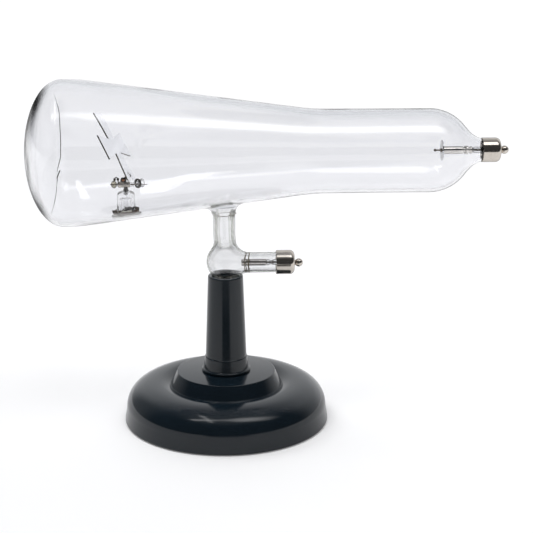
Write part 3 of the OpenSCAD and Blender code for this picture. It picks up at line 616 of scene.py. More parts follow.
# --- Base and post
BASE_R, WALL_R, CROWN_R, INNER_R = 65.0, 63.8, 43.0, 60.8
SHOULDER_Z, RING_Z, RING_DIP, SHOULDER_P = 9.0, 25.9, 1.9, 2.23
PLINTH_R, PLINTH_TOP_R, BASE_WALL, SCREW_HOLE_R = 35.65, 31.0, 3.0, 3.3


def shoulder(inset, n):
    return [(CROWN_R + (WALL_R - inset - CROWN_R) * max(0, sind(t)) ** (2 / SHOULDER_P),
             SHOULDER_Z + (RING_Z - inset - SHOULDER_Z) * max(0, cosd(t)) ** (2 / SHOULDER_P))
            for t in steps(90, 0, n)]


def ring(inset, n):
    foot = PLINTH_R - inset
    return [(CROWN_R + (foot - CROWN_R) * i / n, RING_Z - inset - RING_DIP * (i / n) ** 2)
            for i in range(1, n + 1)]


outer = ([(BASE_R - 0.9, 0.6), (BASE_R - 0.25, 0.75), (BASE_R, 1.3), (BASE_R - 0.02, 1.9)]
         + shoulder(0, 44) + ring(0, 14)[:-1])
outer += rounded([ring(0, 14)[-2], (PLINTH_R, RING_Z - RING_DIP), (PLINTH_TOP_R + 0.15, PLINTH_Z - 0.1),
                  (PLINTH_TOP_R - 0.4, PLINTH_Z)], {1: 0.9, 2: 0.5}, 5)[1:]
outer += [(SCREW_HOLE_R, PLINTH_Z)]
inner = ([(SCREW_HOLE_R, PLINTH_Z - BASE_WALL), (PLINTH_TOP_R - BASE_WALL, PLINTH_Z - BASE_WALL)]
         + ring(BASE_WALL, 8)[::-1] + shoulder(BASE_WALL, 20)[::-1] + [(INNER_R, 0.6)])
piece("base_moulding", turned(outer + inner, 256, True), "base_plastic", "base_shell", sharp=50)

INSERT_R, INSERT_Z, POST_FLOOR, SOCKET_R = 5.0, PLINTH_Z + 14.6, 55.9, 8.6
post = rounded([(INSERT_R, PLINTH_Z), (15.1, PLINTH_Z), (15.5, PLINTH_Z + 0.4), (15.5, 34.1), (15.0, 34.6),
                (14.25, 34.6), (13.45, 42.2), (13.1, 42.6), (13.0, 42.6), (11.08, 95.0), (10.65, POST_Z),
                (SOCKET_R + 0.3, POST_Z), (SOCKET_R, POST_Z - 0.3), (SOCKET_R, POST_FLOOR), (0, POST_FLOOR)],
               dict(enumerate((0.4, 0.4, 0.5, 0.4, 0.35, 0.4, 0.4, 0.3, 0.5, 0.4, 0.3, 0.3), 1)), 5)
post += [(0, INSERT_Z), (INSERT_R, INSERT_Z)]
piece("post_turned", turned(post, 160, True), "post_plastic", "post", sharp=50)


# --- The glass tube
CEMENT_X, EVEN_Z, EVEN_R = 155.0, 141, 20


def envelope_outline(i, end_x):
    """Half the outline of the glass, i mm inside its outer face."""
    o = [((SCREEN_R - i) * sind(t), -SCREEN_X - (SCREEN_DEPTH - i) * cosd(t)) for t in steps(0, 90, 48)]
    o += arc(SCREEN_R - SWEEP_R, -SCREEN_X, SWEEP_R - i, 0, TAPER, 12)[1:]
    sweep_in = arc(BARREL_R + SWEEP_R, BARREL_X, -SWEEP_R - i, TAPER, 0, 12)
    a, b = o[-1], sweep_in[0]
    o += [(a[0] + (b[0] - a[0]) * k / 48, a[1] + (b[1] - a[1]) * k / 48) for k in range(1, 48)]
    o += sweep_in
    o += [(BARREL_R - i, BARREL_X + (SHOULDER_X - BARREL_X) * k / 20) for k in range(1, 20)]
    o += [((BARREL_R - i) * cosd(t), SHOULDER_X + (SHOULDER_L - i) * sind(t))
          for t in steps(0, SHOULDER_TURN, 20)]
    o += arc(TIP_R + TIP_FILLET, TIP_X, -TIP_FILLET - i, TIP_SLOPE, 0, 14)
    return o + [(TIP_R - i, end_x - 0.3), (TIP_R - i - 0.3, end_x), (0, end_x)]


def hand_blown(part, amount, seed):
    """Slow unevenness of blown glass, square to the axis and none at the neck and the cemented end."""
    out = []
    for x, y, z in part[0]:
        w = amount * clamp((CEMENT_X - x) / 25)
        d = waver(x * 0.022 + seed, y * 0.03, z * 0.03) + 0.35 * waver(x * 0.06, y * 0.09 + seed, z * 0.09)
        r = hypot(y, z - TUBE_Z) or 1.0
        w *= clamp((sqrt(x * x + y * y + (z - EVEN_Z) ** 2) - EVEN_R) / 25)
        k = min(1.0, r / 12) * w * d / r
        out.append((x - 0.3 * w * d * max(0.0, (-98 - x) / 24), y + y * k, z + (z - TUBE_Z) * k))
    return out, part[1]


tube_out = hand_blown(on_tube(turned(envelope_outline(0, TUBE_END), 256)), 0.10, 3.1)
tube_in = hand_blown(on_tube(turned(envelope_outline(GLASS_T, TUBE_END - PRESS_T), 256, sign=-1)), 0.16, 7.7)


# Neck, bulb, peg and side arm as one smooth field, negative inside the glass outline
FLARE_REACH, FLARE_TOP, NECK_LAP, SKIN_LAP = 16.5, 127.0, 0.7, 0.06
BEND_Z, BEND_L, BORE_FLARE_Z, PIP_R = 112, 13, 131.0, 0.35
NET_STEP = 0.45


def smin(a, b, k):
    h = np.maximum(k - np.abs(a - b), 0.0) / k
    return np.minimum(a, b) - h * h * k * 0.25


def f_tube(p):
    r = np.hypot(p[..., 1], p[..., 2] - TUBE_Z)
    return (r - glass_radius(p[..., 0])) * cosd(TAPER)


def limbs(p, wall, neck_r, arm_end, peg_r, peg_end, neck_blend, peg_blend):
    """Bulb, neck, arm and peg, wall mm inside their outer size. The neck stands a little left of the bulb."""
    x, y, z = p[..., 0], p[..., 1], p[..., 2]
    u = np.clip((z - BEND_Z) / BEND_L, 0, 1)
    shift = NECK_SHIFT * u * u * (3 - 2 * u)
    neck = np.maximum(np.hypot(x - shift, y) - neck_r, BULB_Z - z)
    bulb = np.sqrt(x * x + y * y + (z - BULB_Z) ** 2) - (BULB_R - wall)
    arm = np.maximum(np.hypot(y, z - ARM_Z) - (ARM_R - wall), np.maximum(-x, x - arm_end))
    peg = np.maximum(np.hypot(x, y) - peg_r, np.maximum(z - BULB_Z, peg_end - z))
    return smin(smin(smin(bulb, neck, neck_blend), arm, 4.2), peg, peg_blend)


def in_wall(f, t, p):
    """Ends the neck inside the skin t that it grows out of, and no wider than its flare."""
    wide = np.minimum(np.hypot(p[..., 0], p[..., 1]) - FLARE_REACH, p[..., 2] - FLARE_TOP)
    return np.maximum(np.maximum(f, -t - NECK_LAP), wide)


def neck_outer(p):
    drawn = np.clip((PEG_Z + 2.5 - p[..., 2]) / (PIP_L + 1), 0, 1)
    peg_r = PEG_R * (1 - drawn) ** 0.6 + PIP_R * drawn
    f = limbs(p, 0.0, NECK_R, ARM_END, peg_r, PEG_Z - PIP_L + 0.4, 3.2, 2.0)
    t = f_tube(p) + SKIN_LAP
    return in_wall(smin(f, t, 8.0), t, p)


def neck_inner(p):
    w = np.clip((p[..., 2] - BORE_FLARE_Z) / 9.5, 0, 1)
    f = limbs(p, NECK_T, NECK_BORE + 3.6 * w ** 1.5, ARM_END - PRESS_T, PEG_R - NECK_T, PEG_Z, 6.0, 3.0)
    t = f_tube(p) + GLASS_T + SKIN_LAP
    return in_wall(smin(f, t, 4.0), t, p)


def nets(f, lo, hi, h):
    """A fine quad mesh of the surface f = 0, its points drawn onto the surface."""
    axes = [np.arange(lo[k], hi[k] + h, h) for k in range(3)]
    F = f(np.stack(np.meshgrid(*axes, indexing="ij"), -1))
    n = np.array(F.shape) - 1
    acc, cnt = np.zeros((*n, 3)), np.zeros(n)
    found = []
    for k in range(3):
        a, b = [slice(None)] * 3, [slice(None)] * 3
        a[k], b[k] = slice(0, -1), slice(1, None)
        fa, fb = F[tuple(a)], F[tuple(b)]
        hit = (fa < 0) != (fb < 0)
        index = np.argwhere(hit)
        va, vb = fa[hit], fb[hit]
        p = np.array(lo) + index * h
        p[:, k] += va / (va - vb) * h
        u, w = ((1, 2), (2, 0), (0, 1))[k]
        cells = []
        for du, dw in ((0, 0), (-1, 0), (-1, -1), (0, -1)):
            c = index.copy()
            c[:, u] += du
            c[:, w] += dw
            cells.append(c)
            np.add.at(acc, tuple(c.T), p)
            np.add.at(cnt, tuple(c.T), 1)
        found.append((cells, va < 0))
    number = -np.ones(cnt.shape, int)
    active = cnt > 0
    number[active] = np.arange(active.sum())
    v = acc[active] / cnt[active][:, None]
    e = 0.02
    for _ in range(4):
        g = np.stack([(f(v + e * d) - f(v - e * d)) / (2 * e) for d in np.eye(3)], -1)
        step = (f(v) / np.maximum((g * g).sum(-1), 0.05))[:, None] * g
        size = np.linalg.norm(step, axis=1, keepdims=True)
        v = v - step * np.minimum(1, 0.5 * h / np.maximum(size, 1e-9))
    faces = []
    for cells, inside in found:
        q = np.stack([number[tuple(c.T)] for c in cells], 1)
        faces.append(np.where(inside[:, None], q, q[:, ::-1]))
    return v, np.concatenate(faces)


def flipped(part):
    return part[0], [f[::-1] for f in part[1]]


def net_part(f, top):
    v, faces = nets(f, (-20, -20, 56), (43, 20, top), NET_STEP)
    return outward(v.tolist(), faces.tolist())


skin = fused(tube_out, net_part(neck_outer, 149))
hollow = flipped(fused(flipped(tube_in), net_part(neck_inner, 150)))
blown = join(skin, hollow)
blown = piece("blown_glass_body", blown, "clear_glass", "envelope neck_glass arm_glass", sharp=60).data
blown.materials.append(M["bore_glass"])
for i in range(len(skin[1]), len(blown.polygons)):
    blown.polygons[i].material_index = 1


def seam_thread(place, top, low, n, size, fade_in, fade_out):
    """A thread on the inner face of the dome, thin at its ends. place gives x at a height."""
    path = []
    for z in steps(top, low, n):
        x = place(z)
        r = (SCREEN_R - GLASS_T) * sqrt(max(0, 1 - ((-x - SCREEN_X) / (SCREEN_DEPTH - GLASS_T)) ** 2))
        path.append((x, sqrt(max(0.0, (r - 0.25) ** 2 - (z - TUBE_Z) ** 2)), z))
    sizes = [size * min(1.0, 0.25 + i / fade_in, 0.25 + (n - i) / fade_out) for i in range(n + 1)]
    return sweep(path, sizes, 8)


# The seam inside the screen end: its upper part, the tick below it, and its lower part
seam = join(seam_thread(lambda z: -104.0 - 1.6 * ease((z - 194) / 15) - 2.2 * ease((165 - z) / 10.5),
                        206.5, 154.6, 60, 0.24, 14, 5),
            seam_thread(lambda z: -104.4 - 2.2 * (156.0 - z) / 5, 156.0, 150.8, 12, 0.36, 3, 3),
            seam_thread(lambda z: -106.0 - 2.4 * (151.5 - z) / 18, 151.9, 133.5, 36, 0.24, 4, 16))
piece("screen_end_seam", seam, "seam_line")


def ring_wire(radius, wire, z, wobble, seed):
    """A ring of melted glass, sunk in the wall at a seal, uneven in width, height and thickness."""
    path, sizes = [], []
    for k, a in enumerate(circle(72)):
        r = radius + wobble * waver(cos(a) * 1.7 + seed, sin(a) * 1.7, 0.3)
        path.append((r * cos(a), r * sin(a), z + wobble * 0.8 * waver(seed, cos(a) * 2, sin(a) * 2)))
        t = 6.28 * k / 72
        sizes.append(wire * (1 + 0.35 * waver(cos(t) * 3, sin(t) * 3, seed)))
    return sweep(path, sizes, 10, True)


def speck(at, size, stretch):
    """A drop of seal glass beside the ring"""
    v, f = turned(bead(size, n=10), 16)
    return [(x * stretch[0] * (1 + 0.2 * waver(x * 3 + at[0], y * 3, z * 3)) + at[0],
             y * stretch[1] + at[1], z * stretch[2] + at[2]) for x, y, z in v], f


neck_rings = join(moved(ring_wire(4.35, 0.22, 134.4, 0.25, 2.0), NECK_SHIFT),
                  *[speck((s * 6.35 + NECK_SHIFT, 0.2, 131.4), 0.42, (1, 2.5, 2.4)) for s in (-1, 1)],
                  *[speck((s * 7.2 + NECK_SHIFT, -0.4, 135.4), 0.4, (1.6, 2.0, 1.0)) for s in (-1, 1)])
piece("neck_seal_rings", neck_rings, "seal_glass", "neck_seal")


def bowed(part, bow):
    """The seam of the arm with the bulb bends towards the bulb in front and behind."""
    return placed(part, lambda p: (p[0] - bow * max(0.0, 1 - ((p[2] - ARM_Z) / 6.1) ** 2), p[1], p[2]))


arm_rings = join(bowed(on_arm(ring_wire(6.15, 0.36, 12.9, 0.3, 3.0)), 1.3),
                 bowed(on_arm(ring_wire(6.05, 0.38, 15.0, 0.3, 7.0)), 0.9))
piece("arm_seal_rings", arm_rings, "seal_glass", "arm_seal")


# --- Caps and terminals
CAP_HOLE_R, ANODE_DROP, BALL_R = 1.15, 0.4, 2.65


def cap():
    """A drawn cap, open below, with a hole for the terminal in its top."""
    top = CAP_L - CAP_ROUND
    o = [(CAP_R, z) for z in (0.25, 0.6, 2, 4, 6, 8)] + arc(CAP_R - CAP_ROUND, top, CAP_ROUND, 0, 84, 14)
    o += [(3.4, CAP_L), (CAP_HOLE_R + 0.1, CAP_L), (CAP_HOLE_R, CAP_L - 0.1), (CAP_HOLE_R, CAP_L - CAP_T)]
    o += arc(CAP_R - CAP_ROUND, top, CAP_ROUND - CAP_T, 84, 0, 10)
    o += [(CAP_R - CAP_T, 0.25), (CAP_R - CAP_T + 0.05, 0.08), (CAP_R - 0.17, 0.0), (CAP_R - 0.05, 0.08)]
    return turned(o, 128, True)


def off_centre(p):
    """Moves the cap's hole down without moving its wall."""
    k = 1 - clamp((hypot(p[0], p[1]) - 1.3) / 2.5)
    return p[0] + ANODE_DROP * (k if p[2] > CAP_L - 1 else 0), p[1], p[2]


def terminal():
    """A ball on a stem with a collar, which stands in the cap's hole."""
    stem = [(0, -2.2), (2.2, -2.2), (2.2, -0.45), (1.1, -0.4), (1.1, 0.05), (1.62, 0.05), (1.7, 0.12),
            (1.7, 0.28), (1.62, 0.35), (1.16, 0.36)]
    return turned(stem + arc(0, BALL_R + 0.05, BALL_R, -64, 90, 24)[:-1] + [(0, 2 * BALL_R + 0.05)], 64)


anode_cap = moved(placed(cap(), off_centre), dz=ARM_CAP_X)
anode_ball = moved(terminal(), dz=ARM_CAP_X + CAP_L)
piece("cathode_cap_drawn", on_tube(moved(cap(), dz=CAP_X)), "nickel", "cathode_cap", sharp=50)
piece("anode_cap_drawn", on_arm(anode_cap), "nickel", "anode_cap", sharp=50)
piece("cathode_ball", on_tube(moved(terminal(), dz=CAP_END)), "nickel", "cathode_terminal", sharp=40)
piece("anode_ball", on_arm(anode_ball, ANODE_DROP), "nickel", "anode_terminal", sharp=40)


# --- Electrodes, their outlines as radius and place along the tube or the arm
sleeve = lathe([(0.85, 135.0), (2.35, 135.0), (2.35, 147.2), (1.7, 147.6), (1.7, 148.2), (2.6, 148.5),
                (2.6, 149.7), (1.7, 150.0), (1.7, 150.5), (2.2, 150.8), (2.2, 151.5), (1.5, 152.0),
                (1.45, 149.0), (0.85, 149.0)], {1: 0.2, 2: 0.2, 5: 0.2, 6: 0.2, 9: 0.15, 10: 0.2}, seg=96)
piece("cathode_sleeve_drawn", on_tube(sleeve), "electrode_metal", "cathode_sleeve", sharp=45)
disc = lathe([(0.62, 134.62), (3.0, 134.52), (5.2, 134.3), (6.15, 134.02), (6.4, 134.1), (6.4, 134.55),
              (6.1, 134.75), (3.0, 134.95), (0.62, 135.0)], 0.25, seg=128)
piece("cathode_disc_dished", on_tube(disc), "disc_metal", "cathode_disc", sharp=45)
nose = bead(0.9, 130.0, 14)[:12] + [(0.5, 131.0), (0.5, 133.2), (0.75, 133.35), (1.25, 133.5), (1.3, 134.2),
                                    (0.6, 134.45), (0.6, 137.8), (0, 137.9)]
piece("cathode_nose_pin", on_tube(turned(nose, 48)), "lead_wire", "cathode_nose")
lead = lathe([(0, 139.2), (0.42, 139.2), (0.42, 152.4), (0.62, 153.0), (0.62, 163.0), (0.42, 163.6),
              (0.42, 168.2), (0, 168.2)], 0.2, 3, 40)
piece("cathode_lead_drawn", on_tube(lead), "lead_wire", "cathode_lead")
sheath = lathe([(0.75, 149.15), (1.35, 149.15), (1.35, 152.4), (1.95, 153.4), (1.9, 159.0), (2.0, 163.0),
                (1.5, 166.0), (1.35, 167.3), (0.75, 167.3)], 0.4)
piece("cathode_sheath_drawn", on_tube(sheath), "wire_glass", "cathode_sheath")

anode = lathe([(1.55, 9.7), (2.05, 9.7), (2.05, 25.2), (1.8, 25.6), (0.45, 25.6), (0.45, 20.6), (1.55, 20.6)],
              {1: 0.14, 2: 0.2, 3: 0.2}, seg=96)
piece("anode_tube_rolled", on_arm(anode), "electrode_metal", "anode_tube", sharp=45)
anode_bead = lathe([(0.46, 25.68), (1.3, 25.72), (1.95, 26.2), (2.0, 26.9), (1.6, 27.6), (1.1, 27.9),
                    (0.46, 27.95)], 0.5)
piece("anode_bead_drawn", on_arm(anode_bead), "wire_glass", "anode_bead")
anode_sheath = lathe([(0.48, 28.0), (1.15, 28.0), (1.3, 29.2), (1.75, 30.4), (1.55, 32.0), (1.2, 34.5),
                      (1.2, 40.2), (0.48, 40.2)], 0.6)
piece("anode_sheath_drawn", on_arm(anode_sheath), "wire_glass", "anode_sheath")
anode_lead = lathe([(0, 21.7), (0.4, 21.7), (0.4, 41.0), (0, 41.0)], 0.12, 3, 32)
piece("anode_lead_drawn", on_arm(anode_lead), "lead_wire", "anode_lead")


# --- Pillar, bar and wires
PILLAR_TOP = PILLAR_WALL + PILLAR_H
FOOT_R, PILLAR_R, PILLAR_T, PAD_T, PAD_R, PAD_GAP = 6.2, 5.4, 2.4, 1.8, 10.2, 0.07
BAR_R, EAR_Y, EAR_T = 1.4, 1.1, 0.3


def on_foot(p):
    x, y, z = rot(p, "y", -TAPER)
    return x - PILLAR_X, y, z + PILLAR_WALL


def on_pillar(p):
    # the foot follows the slope of the wall
    k = clamp((5.0 - (p[2] - PAD_T)) / 5.0)
    return p[0] - PILLAR_X, p[1], p[2] + PILLAR_WALL + p[0] * tand(TAPER) * k


def on_bar(p):
    return p[2] - PILLAR_X, p[1], BAR_Z - p[0]


def wall_under(x, y):
    """Height of the tube's inner wall in the pad's own lie"""
    r = glass_radius(x - PILLAR_X, GLASS_T)
    return TUBE_Z - sqrt(r * r - y * y) - PILLAR_WALL - x * tand(TAPER)


def pad_mesh(rings=14, seg=72):
    """A pad of melted glass pressed on the curved wall, thin at its uneven edge."""
    top, low = [], []
    for a in circle(seg):
        r = 4.0
        while r < 14:
            skirt = PAD_T - max(0.0, r - (PAD_R - 2.4)) * 1.15
            if skirt <= wall_under(r * cos(a), r * sin(a)) + 0.08:
                break
            r += 0.05
        reach = r + 0.5 * waver(cos(a) * 1.3, sin(a) * 1.3, 4.0)
        for j in range(1, rings + 1):
            q = reach * (j / rings) ** 0.8
            x, y = q * cos(a), q * sin(a)
            floor = wall_under(x, y) + PAD_GAP
            crown = PAD_T - 0.02 * q
            t = clamp((q - (PAD_R - 3.2)) / max(0.5, reach - (PAD_R - 3.2)))
            h = crown + (floor - crown) * (t * t * (2 - t)) + 0.10 * waver(x * 0.5, y * 0.5, 9.0) * (1 - t)
            top.append((x, y, max(h, floor + (0.04 if j < rings else 0.0))))
            low.append((x, y, floor))
    verts = [(0, 0, PAD_T)] + top + [(0, 0, wall_under(0, 0) + PAD_GAP)] + low
    n = 1 + seg * rings
    faces = []
    for k in range(seg):
        m = (k + 1) % seg
        faces.append((0, 1 + k * rings, 1 + m * rings))
        faces.append((n, n + 1 + m * rings, n + 1 + k * rings))
        for j in range(rings - 1):
            a, b = 1 + k * rings + j, 1 + m * rings + j
            faces.append((a, a + 1, b + 1, b))
            faces.append((n + a, n + b, n + b + 1, n + a + 1))
        a, b = k * rings + rings, m * rings + rings
        faces.append((a, n + a, n + b, b))
    return outward(verts, faces)


piece("pillar_pad_pressed", placed(pad_mesh(), on_foot), "pad_glass", "pillar_pad")

r, inner_r = PILLAR_R, PILLAR_R - PILLAR_T
out_side = [(FOOT_R + 0.2, PAD_T + 0.1), (FOOT_R + 0.25, PAD_T + 0.6), (FOOT_R - 0.5, PAD_T + 2.6),
            (r + 0.15, PAD_T + 5.6), (r + 0.1, 9.5), (r + 0.02, 12.0)]
out_side += arc(r - 2.2, PILLAR_H - 2.2, 2.2, 8, 78, 9) + [(1.9, PILLAR_H - 0.02), (1.28, PILLAR_H - 0.1)]
in_side = [(1.28, PILLAR_H - 2.55), (0, PILLAR_H - 2.6), (0, PILLAR_H - 3.4), (inner_r - 0.9, PILLAR_H - 3.5),
           (inner_r, PILLAR_H - 4.6), (inner_r, 8.0), (FOOT_R - 0.6 - PILLAR_T, 4.6),
           (FOOT_R - PILLAR_T, PAD_T + 0.12)]
mantle = lathe(out_side + in_side, 0.35, 3, 96)
piece("pillar_glass_drawn", placed(mantle, on_pillar), "inner_glass", "pillar_glass", sharp=60)
core = lathe([(0.0, 2.0), (1.2, 2.0), (1.5, 3.4), (1.25, 5.6), (1.35, 8.2), (1.1, 10.2), (1.3, 11.6),
              (0.9, 12.2), (0, 12.25)], 0.5, 4, 40)
piece("pillar_stem", placed(core, on_pillar), "inner_glass", "pillar_core")

# two turns of wire round the foot, with a knot on either side
BAND_WIRE = 0.55
band_r = FOOT_R + BAND_WIRE + 0.7
loops = []
for turn, lift, size in ((0.0, 0.62, BAND_WIRE), (1.3, 1.5, 0.40)):
    path = []
    for a in circle(96):
        d = waver(cos(a) * 2 + turn * 5, sin(a) * 2, 1.0)
        wide = band_r - 0.25 * turn + 0.18 * d
        path.append((wide * cos(a), wide * sin(a), PAD_T + lift + 0.30 * d + 0.2 * turn * sin(2 * a)))
    loops.append(sweep(path, size, 12, True))
for s in (-1, 1):
    for k, (dx, dz, size) in enumerate(((0.0, 0.75, 0.95), (0.35, 1.75, 0.7), (-0.3, 0.1, 0.7))):
        knot = turned(bead(size, swell=lambda t: 1 + 0.15 * sin(3 * t)), 20)
        loops.append(moved(knot, s * (band_r + dx), 0.25 * k * s, PAD_T + dz))
piece("foot_band_twisted", placed(join(*loops), on_foot), "band_metal", "foot_band")

bar = lathe([(0, -5.1), (BAR_R, -5.1), (BAR_R - 0.06, -3.6), (BAR_R - 0.02, 0), (BAR_R - 0.05, 3.6),
             (BAR_R, 5.0), (0, 5.0)], {1: 0.7, 2: 0.4, 3: 0.4, 4: 0.4, 5: 0.7}, 5, 48)
piece("cross_bar_drawn", placed(bar, on_bar), "inner_glass", "cross_bar")
olive = turned(bead(1.78, n=20, half=1.85, swell=lambda t: 1 + 0.1 * sin(t)), 40)
olive = placed(olive, lambda p: on_bar((p[0] * 1.18, p[1], p[2] - 7.15)))
piece("end_bead_fused", olive, "bead_glass", "end_bead")
wire = sweep([(0, 0, -9.5), (0, 0.05, -8.4), (0, 0, -6.5), (0, 0, -3.0)], 0.33, 12)
piece("screen_wire_drawn", placed(wire, on_bar), "lead_wire", "screen_wire")

hook = [(-0.8, 0.0, 1.95), (-1.0, 0.0, 2.6)]
hook += [(cosd(a), 0.25 * sind(a), 3.15 + sind(a)) for a in steps(180, 0, 16)]
hook += [(1.0, 0.0, 2.5), (1.02, 0.0, 1.45)]
coils = [[(0.55 * cosd(a) + x, -0.55 + 0.1 * sind(a), z + 0.55 * sind(a)) for a in steps(0, 340, 18)]
         for x, z in ((-1.0, 3.1), (1.0, 3.2))]
hook_part = join(sweep(hook, 0.30, 12), *[sweep(coil, 0.30, 10) for coil in coils])
piece("wire_hook_bent", moved(hook_part, -PILLAR_X - 5.6, 0, BAR_Z), "hinge_metal", "wire_hook")


def ring_at(dx, dz, radius, wire, turn, squash=1.0, seed=1.0):
    """A ring of wire at the bar's right end, turned about the vertical."""
    path = []
    for a in circle(64):
        r = radius + 0.08 * waver(cos(a) * 2 + seed, sin(a) * 2, seed)
        x = r * cos(a) * squash
        path.append((x * cosd(turn) - PILLAR_X + dx, -x * sind(turn), r * sin(a) + BAR_Z + dz))
    return sweep(path, wire, 14, True)


piece("end_ring_wound", join(ring_at(7.3, 0.6, 2.45, 0.52, 48), ring_at(7.85, 0.65, 2.4, 0.42, 50, seed=4.0)),
      "hinge_metal", "end_ring")
glass_bead = lathe([(0.4, -0.9), (1.2, -0.8), (1.75, -0.3), (1.75, 0.3), (1.2, 0.8), (0.4, 0.9)], 0.4, 3, 40)
glass_bead = placed(glass_bead, lambda p: rot(rot(p, "x", 90), "z", -48))
glass_bead = moved(glass_bead, -PILLAR_X + 7.4, 0, BAR_Z + 0.5)
piece("ring_bead_fused", join(glass_bead, ring_at(10.0, 0.9, 2.1, 0.55, 50, 0.85, 8.0)), "wire_glass",
      "ring_bead")
tail = join(sweep([(0, 0, 2.9), (0, 0, 6.0), (-0.2, 0.1, 8.2), (0.05, 0.0, 11.0), (0.1, -0.1, 13.4)],
                  [0.34, 0.34, 0.3, 0.22, 0.18], 12), moved(turned(bead(0.62, 7.3), 24), -0.3))
piece("tail_wire_drawn", placed(tail, on_bar), "lead_wire", "tail_wire")

# Hinge: browned clip and mast, polished sleeve, copper pin
bar_sleeve = lathe([(1.45, -4.6), (1.78, -4.6), (1.78, 2.6), (1.45, 2.6)], 0.12, seg=64)
piece("bracket_sleeve_polished", placed(bar_sleeve, on_bar), "nickel", "hinge_bracket",
      sharp=45)
px, pz = PIN[0], PIN[2]
ear = looped([(px + 1.75, BAR_Z + 1.8), (px + 1.75, pz + 0.2), (px + 1.1, pz + 0.95), (px - 1.1, pz + 0.95),
              (px - 1.75, pz + 0.2), (px - 1.75, BAR_Z + 1.8)], 0.35)
ears = [slab(ear, EAR_T, 0.06, lambda w, s=s: (w[1], w[0] + s * (EAR_Y + EAR_T / 2), w[2]))[0]
        for s in (-1, 1)]
top = PILLAR_TOP
mast = lathe([(0, top - 2.5), (1.15, top - 2.5), (1.15, top + 0.1), (1.55, top + 0.25), (1.6, top + 1.5),
              (1.2, top + 1.8), (1.2, BAR_Z - 1.5), (0, BAR_Z - 1.5)], 0.2, 4, 40)
piece("bracket_clip", join(*ears, moved(mast, -PILLAR_X)), "hinge_metal", "hinge_bracket", sharp=45)
half, head = EAR_Y + EAR_T, 0.35
crown = [(0.72 * sind(t) + 0.03, half + head * cosd(t)) for t in steps(84, 20, 5)]
pin = [(0, half + head), *crown[::-1], (0.78, half + 0.03), (0.45, half)]
pin = [(r, -z) for r, z in pin] + pin[::-1]
pin = placed(turned(pin, 32), lambda p: (p[0] + PIN[0], p[2], p[1] + PIN[2]))
piece("hinge_pin_turned", pin, "pin_copper", "hinge_pin", sharp=50)


# --- The cross, its lug and its rivet
CROSS_A, CROSS_W, CROSS_M, CROSS_T = 23.1, 8.1, 5.0, 0.8
CROSS_OFFSET, CROSS_FOOT, CROSS_LEAN, CROSS_TILT, CROSS_TWIST = 4.3, 2.4, 27.0, 13.6, 7.3
NOTCH_W, NOTCH_H = 2.35, 4.1


def at_pin(p):
    x, y, z = rot(p, "y", -CROSS_LEAN)
    return x + PIN[0], y + PIN[1], z + PIN[2]


def on_cross(p):
    x, y, z = rot(rot(p, "z", -CROSS_TWIST), "x", -CROSS_TILT)
    return at_pin((x + CROSS_OFFSET, y, z))


star = [rot((a, b, 0), "z", -q)[:2] for q in (0, 90, 180, 270)
        for a, b in ((-CROSS_W, CROSS_A), (CROSS_W, CROSS_A), (CROSS_M, CROSS_M))]
# the foot is notched over the bar
low = [i for i, (a, b) in enumerate(star) if abs(b + CROSS_A) < 1e-6]
gap = [(NOTCH_W, -CROSS_A), (NOTCH_W, NOTCH_H - CROSS_A), (-NOTCH_W, NOTCH_H - CROSS_A), (-NOTCH_W, -CROSS_A)]
star[low[1]:low[1]] = gap
plan = looped(star, 0.25, 3)
part, cut = slab(plan, CROSS_T, 0.09, on_cross, CROSS_A - CROSS_FOOT)
cross = piece("cross_sheet_cut", part, "cross_sheet", "cross_plate", body="cross", sharp=30).data
cross.materials.append(M["cut_edge"])
# the long cut edges on the near side, edges low on the right and the left tip take the dark edge colour; the
# other tips, the notch and the rest stay bright
n = len(plan)
for i in cut:
    a, b = (Vector(plan[i % n]) + Vector(plan[(i % n + 1) % n])) / 2
    near = -CROSS_W - 0.2 < a < -2.6 and CROSS_M < abs(b) < CROSS_A - 0.4
    lower = a > CROSS_M and -CROSS_W < b < -CROSS_M
    cross.polygons[i].material_index = 1 if near or lower or a < 0.4 - CROSS_A else 0

half = EAR_Y - 0.3
eye = lathe([(0.5, -half), (1.1, -half), (1.1, half), (0.5, half)], 0.12, 3, 40)
eye = placed(eye, lambda p: at_pin((p[0], p[2], p[1])))
strap = looped([(0.75, -0.1), (3.55, -0.1), (3.55, 1.0), (0.75, 1.0)], 0.25)
strap = slab(strap, 2 * half, 0.1, lambda w: at_pin((w[1], w[0], w[2])))[0]
foot = looped([(-1.3, -0.6), (1.3, -0.6), (1.3, 2.6), (-1.3, 2.6)], 0.4)
foot = slab(foot, 0.4, 0.06, lambda w: on_cross((w[0] - CROSS_T / 2 - 0.25, w[1], w[2])))[0]
piece("hinge_lug_bent", join(eye, strap, foot), "hinge_metal", "hinge_lug", body="cross", sharp=45)
a, b = -CROSS_T / 2 - 0.45, CROSS_T / 2 + 0.05
rivet = turned([(0, a - 0.42), (0.45, a - 0.36), (0.7, a - 0.15), (0.7, a), (0.5, a), (0.5, b), (0.9, b),
                (0.88, b + 0.15), (0.6, b + 0.36), (0, b + 0.44)], 32)
piece("cross_rivet_set", placed(rivet, lambda p: on_cross((p[2], p[1], 1.95 - p[0]))), "cross_sheet",
      "cross_rivet", "cross", 50)


# --- CAD nodes that are shown as they are
SLOTS = {s["node"]: s["material_slot"] for s in frame["record"]["subparts"]}
for name, ob in frame["nodes"].items():
    ob.data.materials.clear()
    ob.data.materials.append(M[SLOTS[name]])


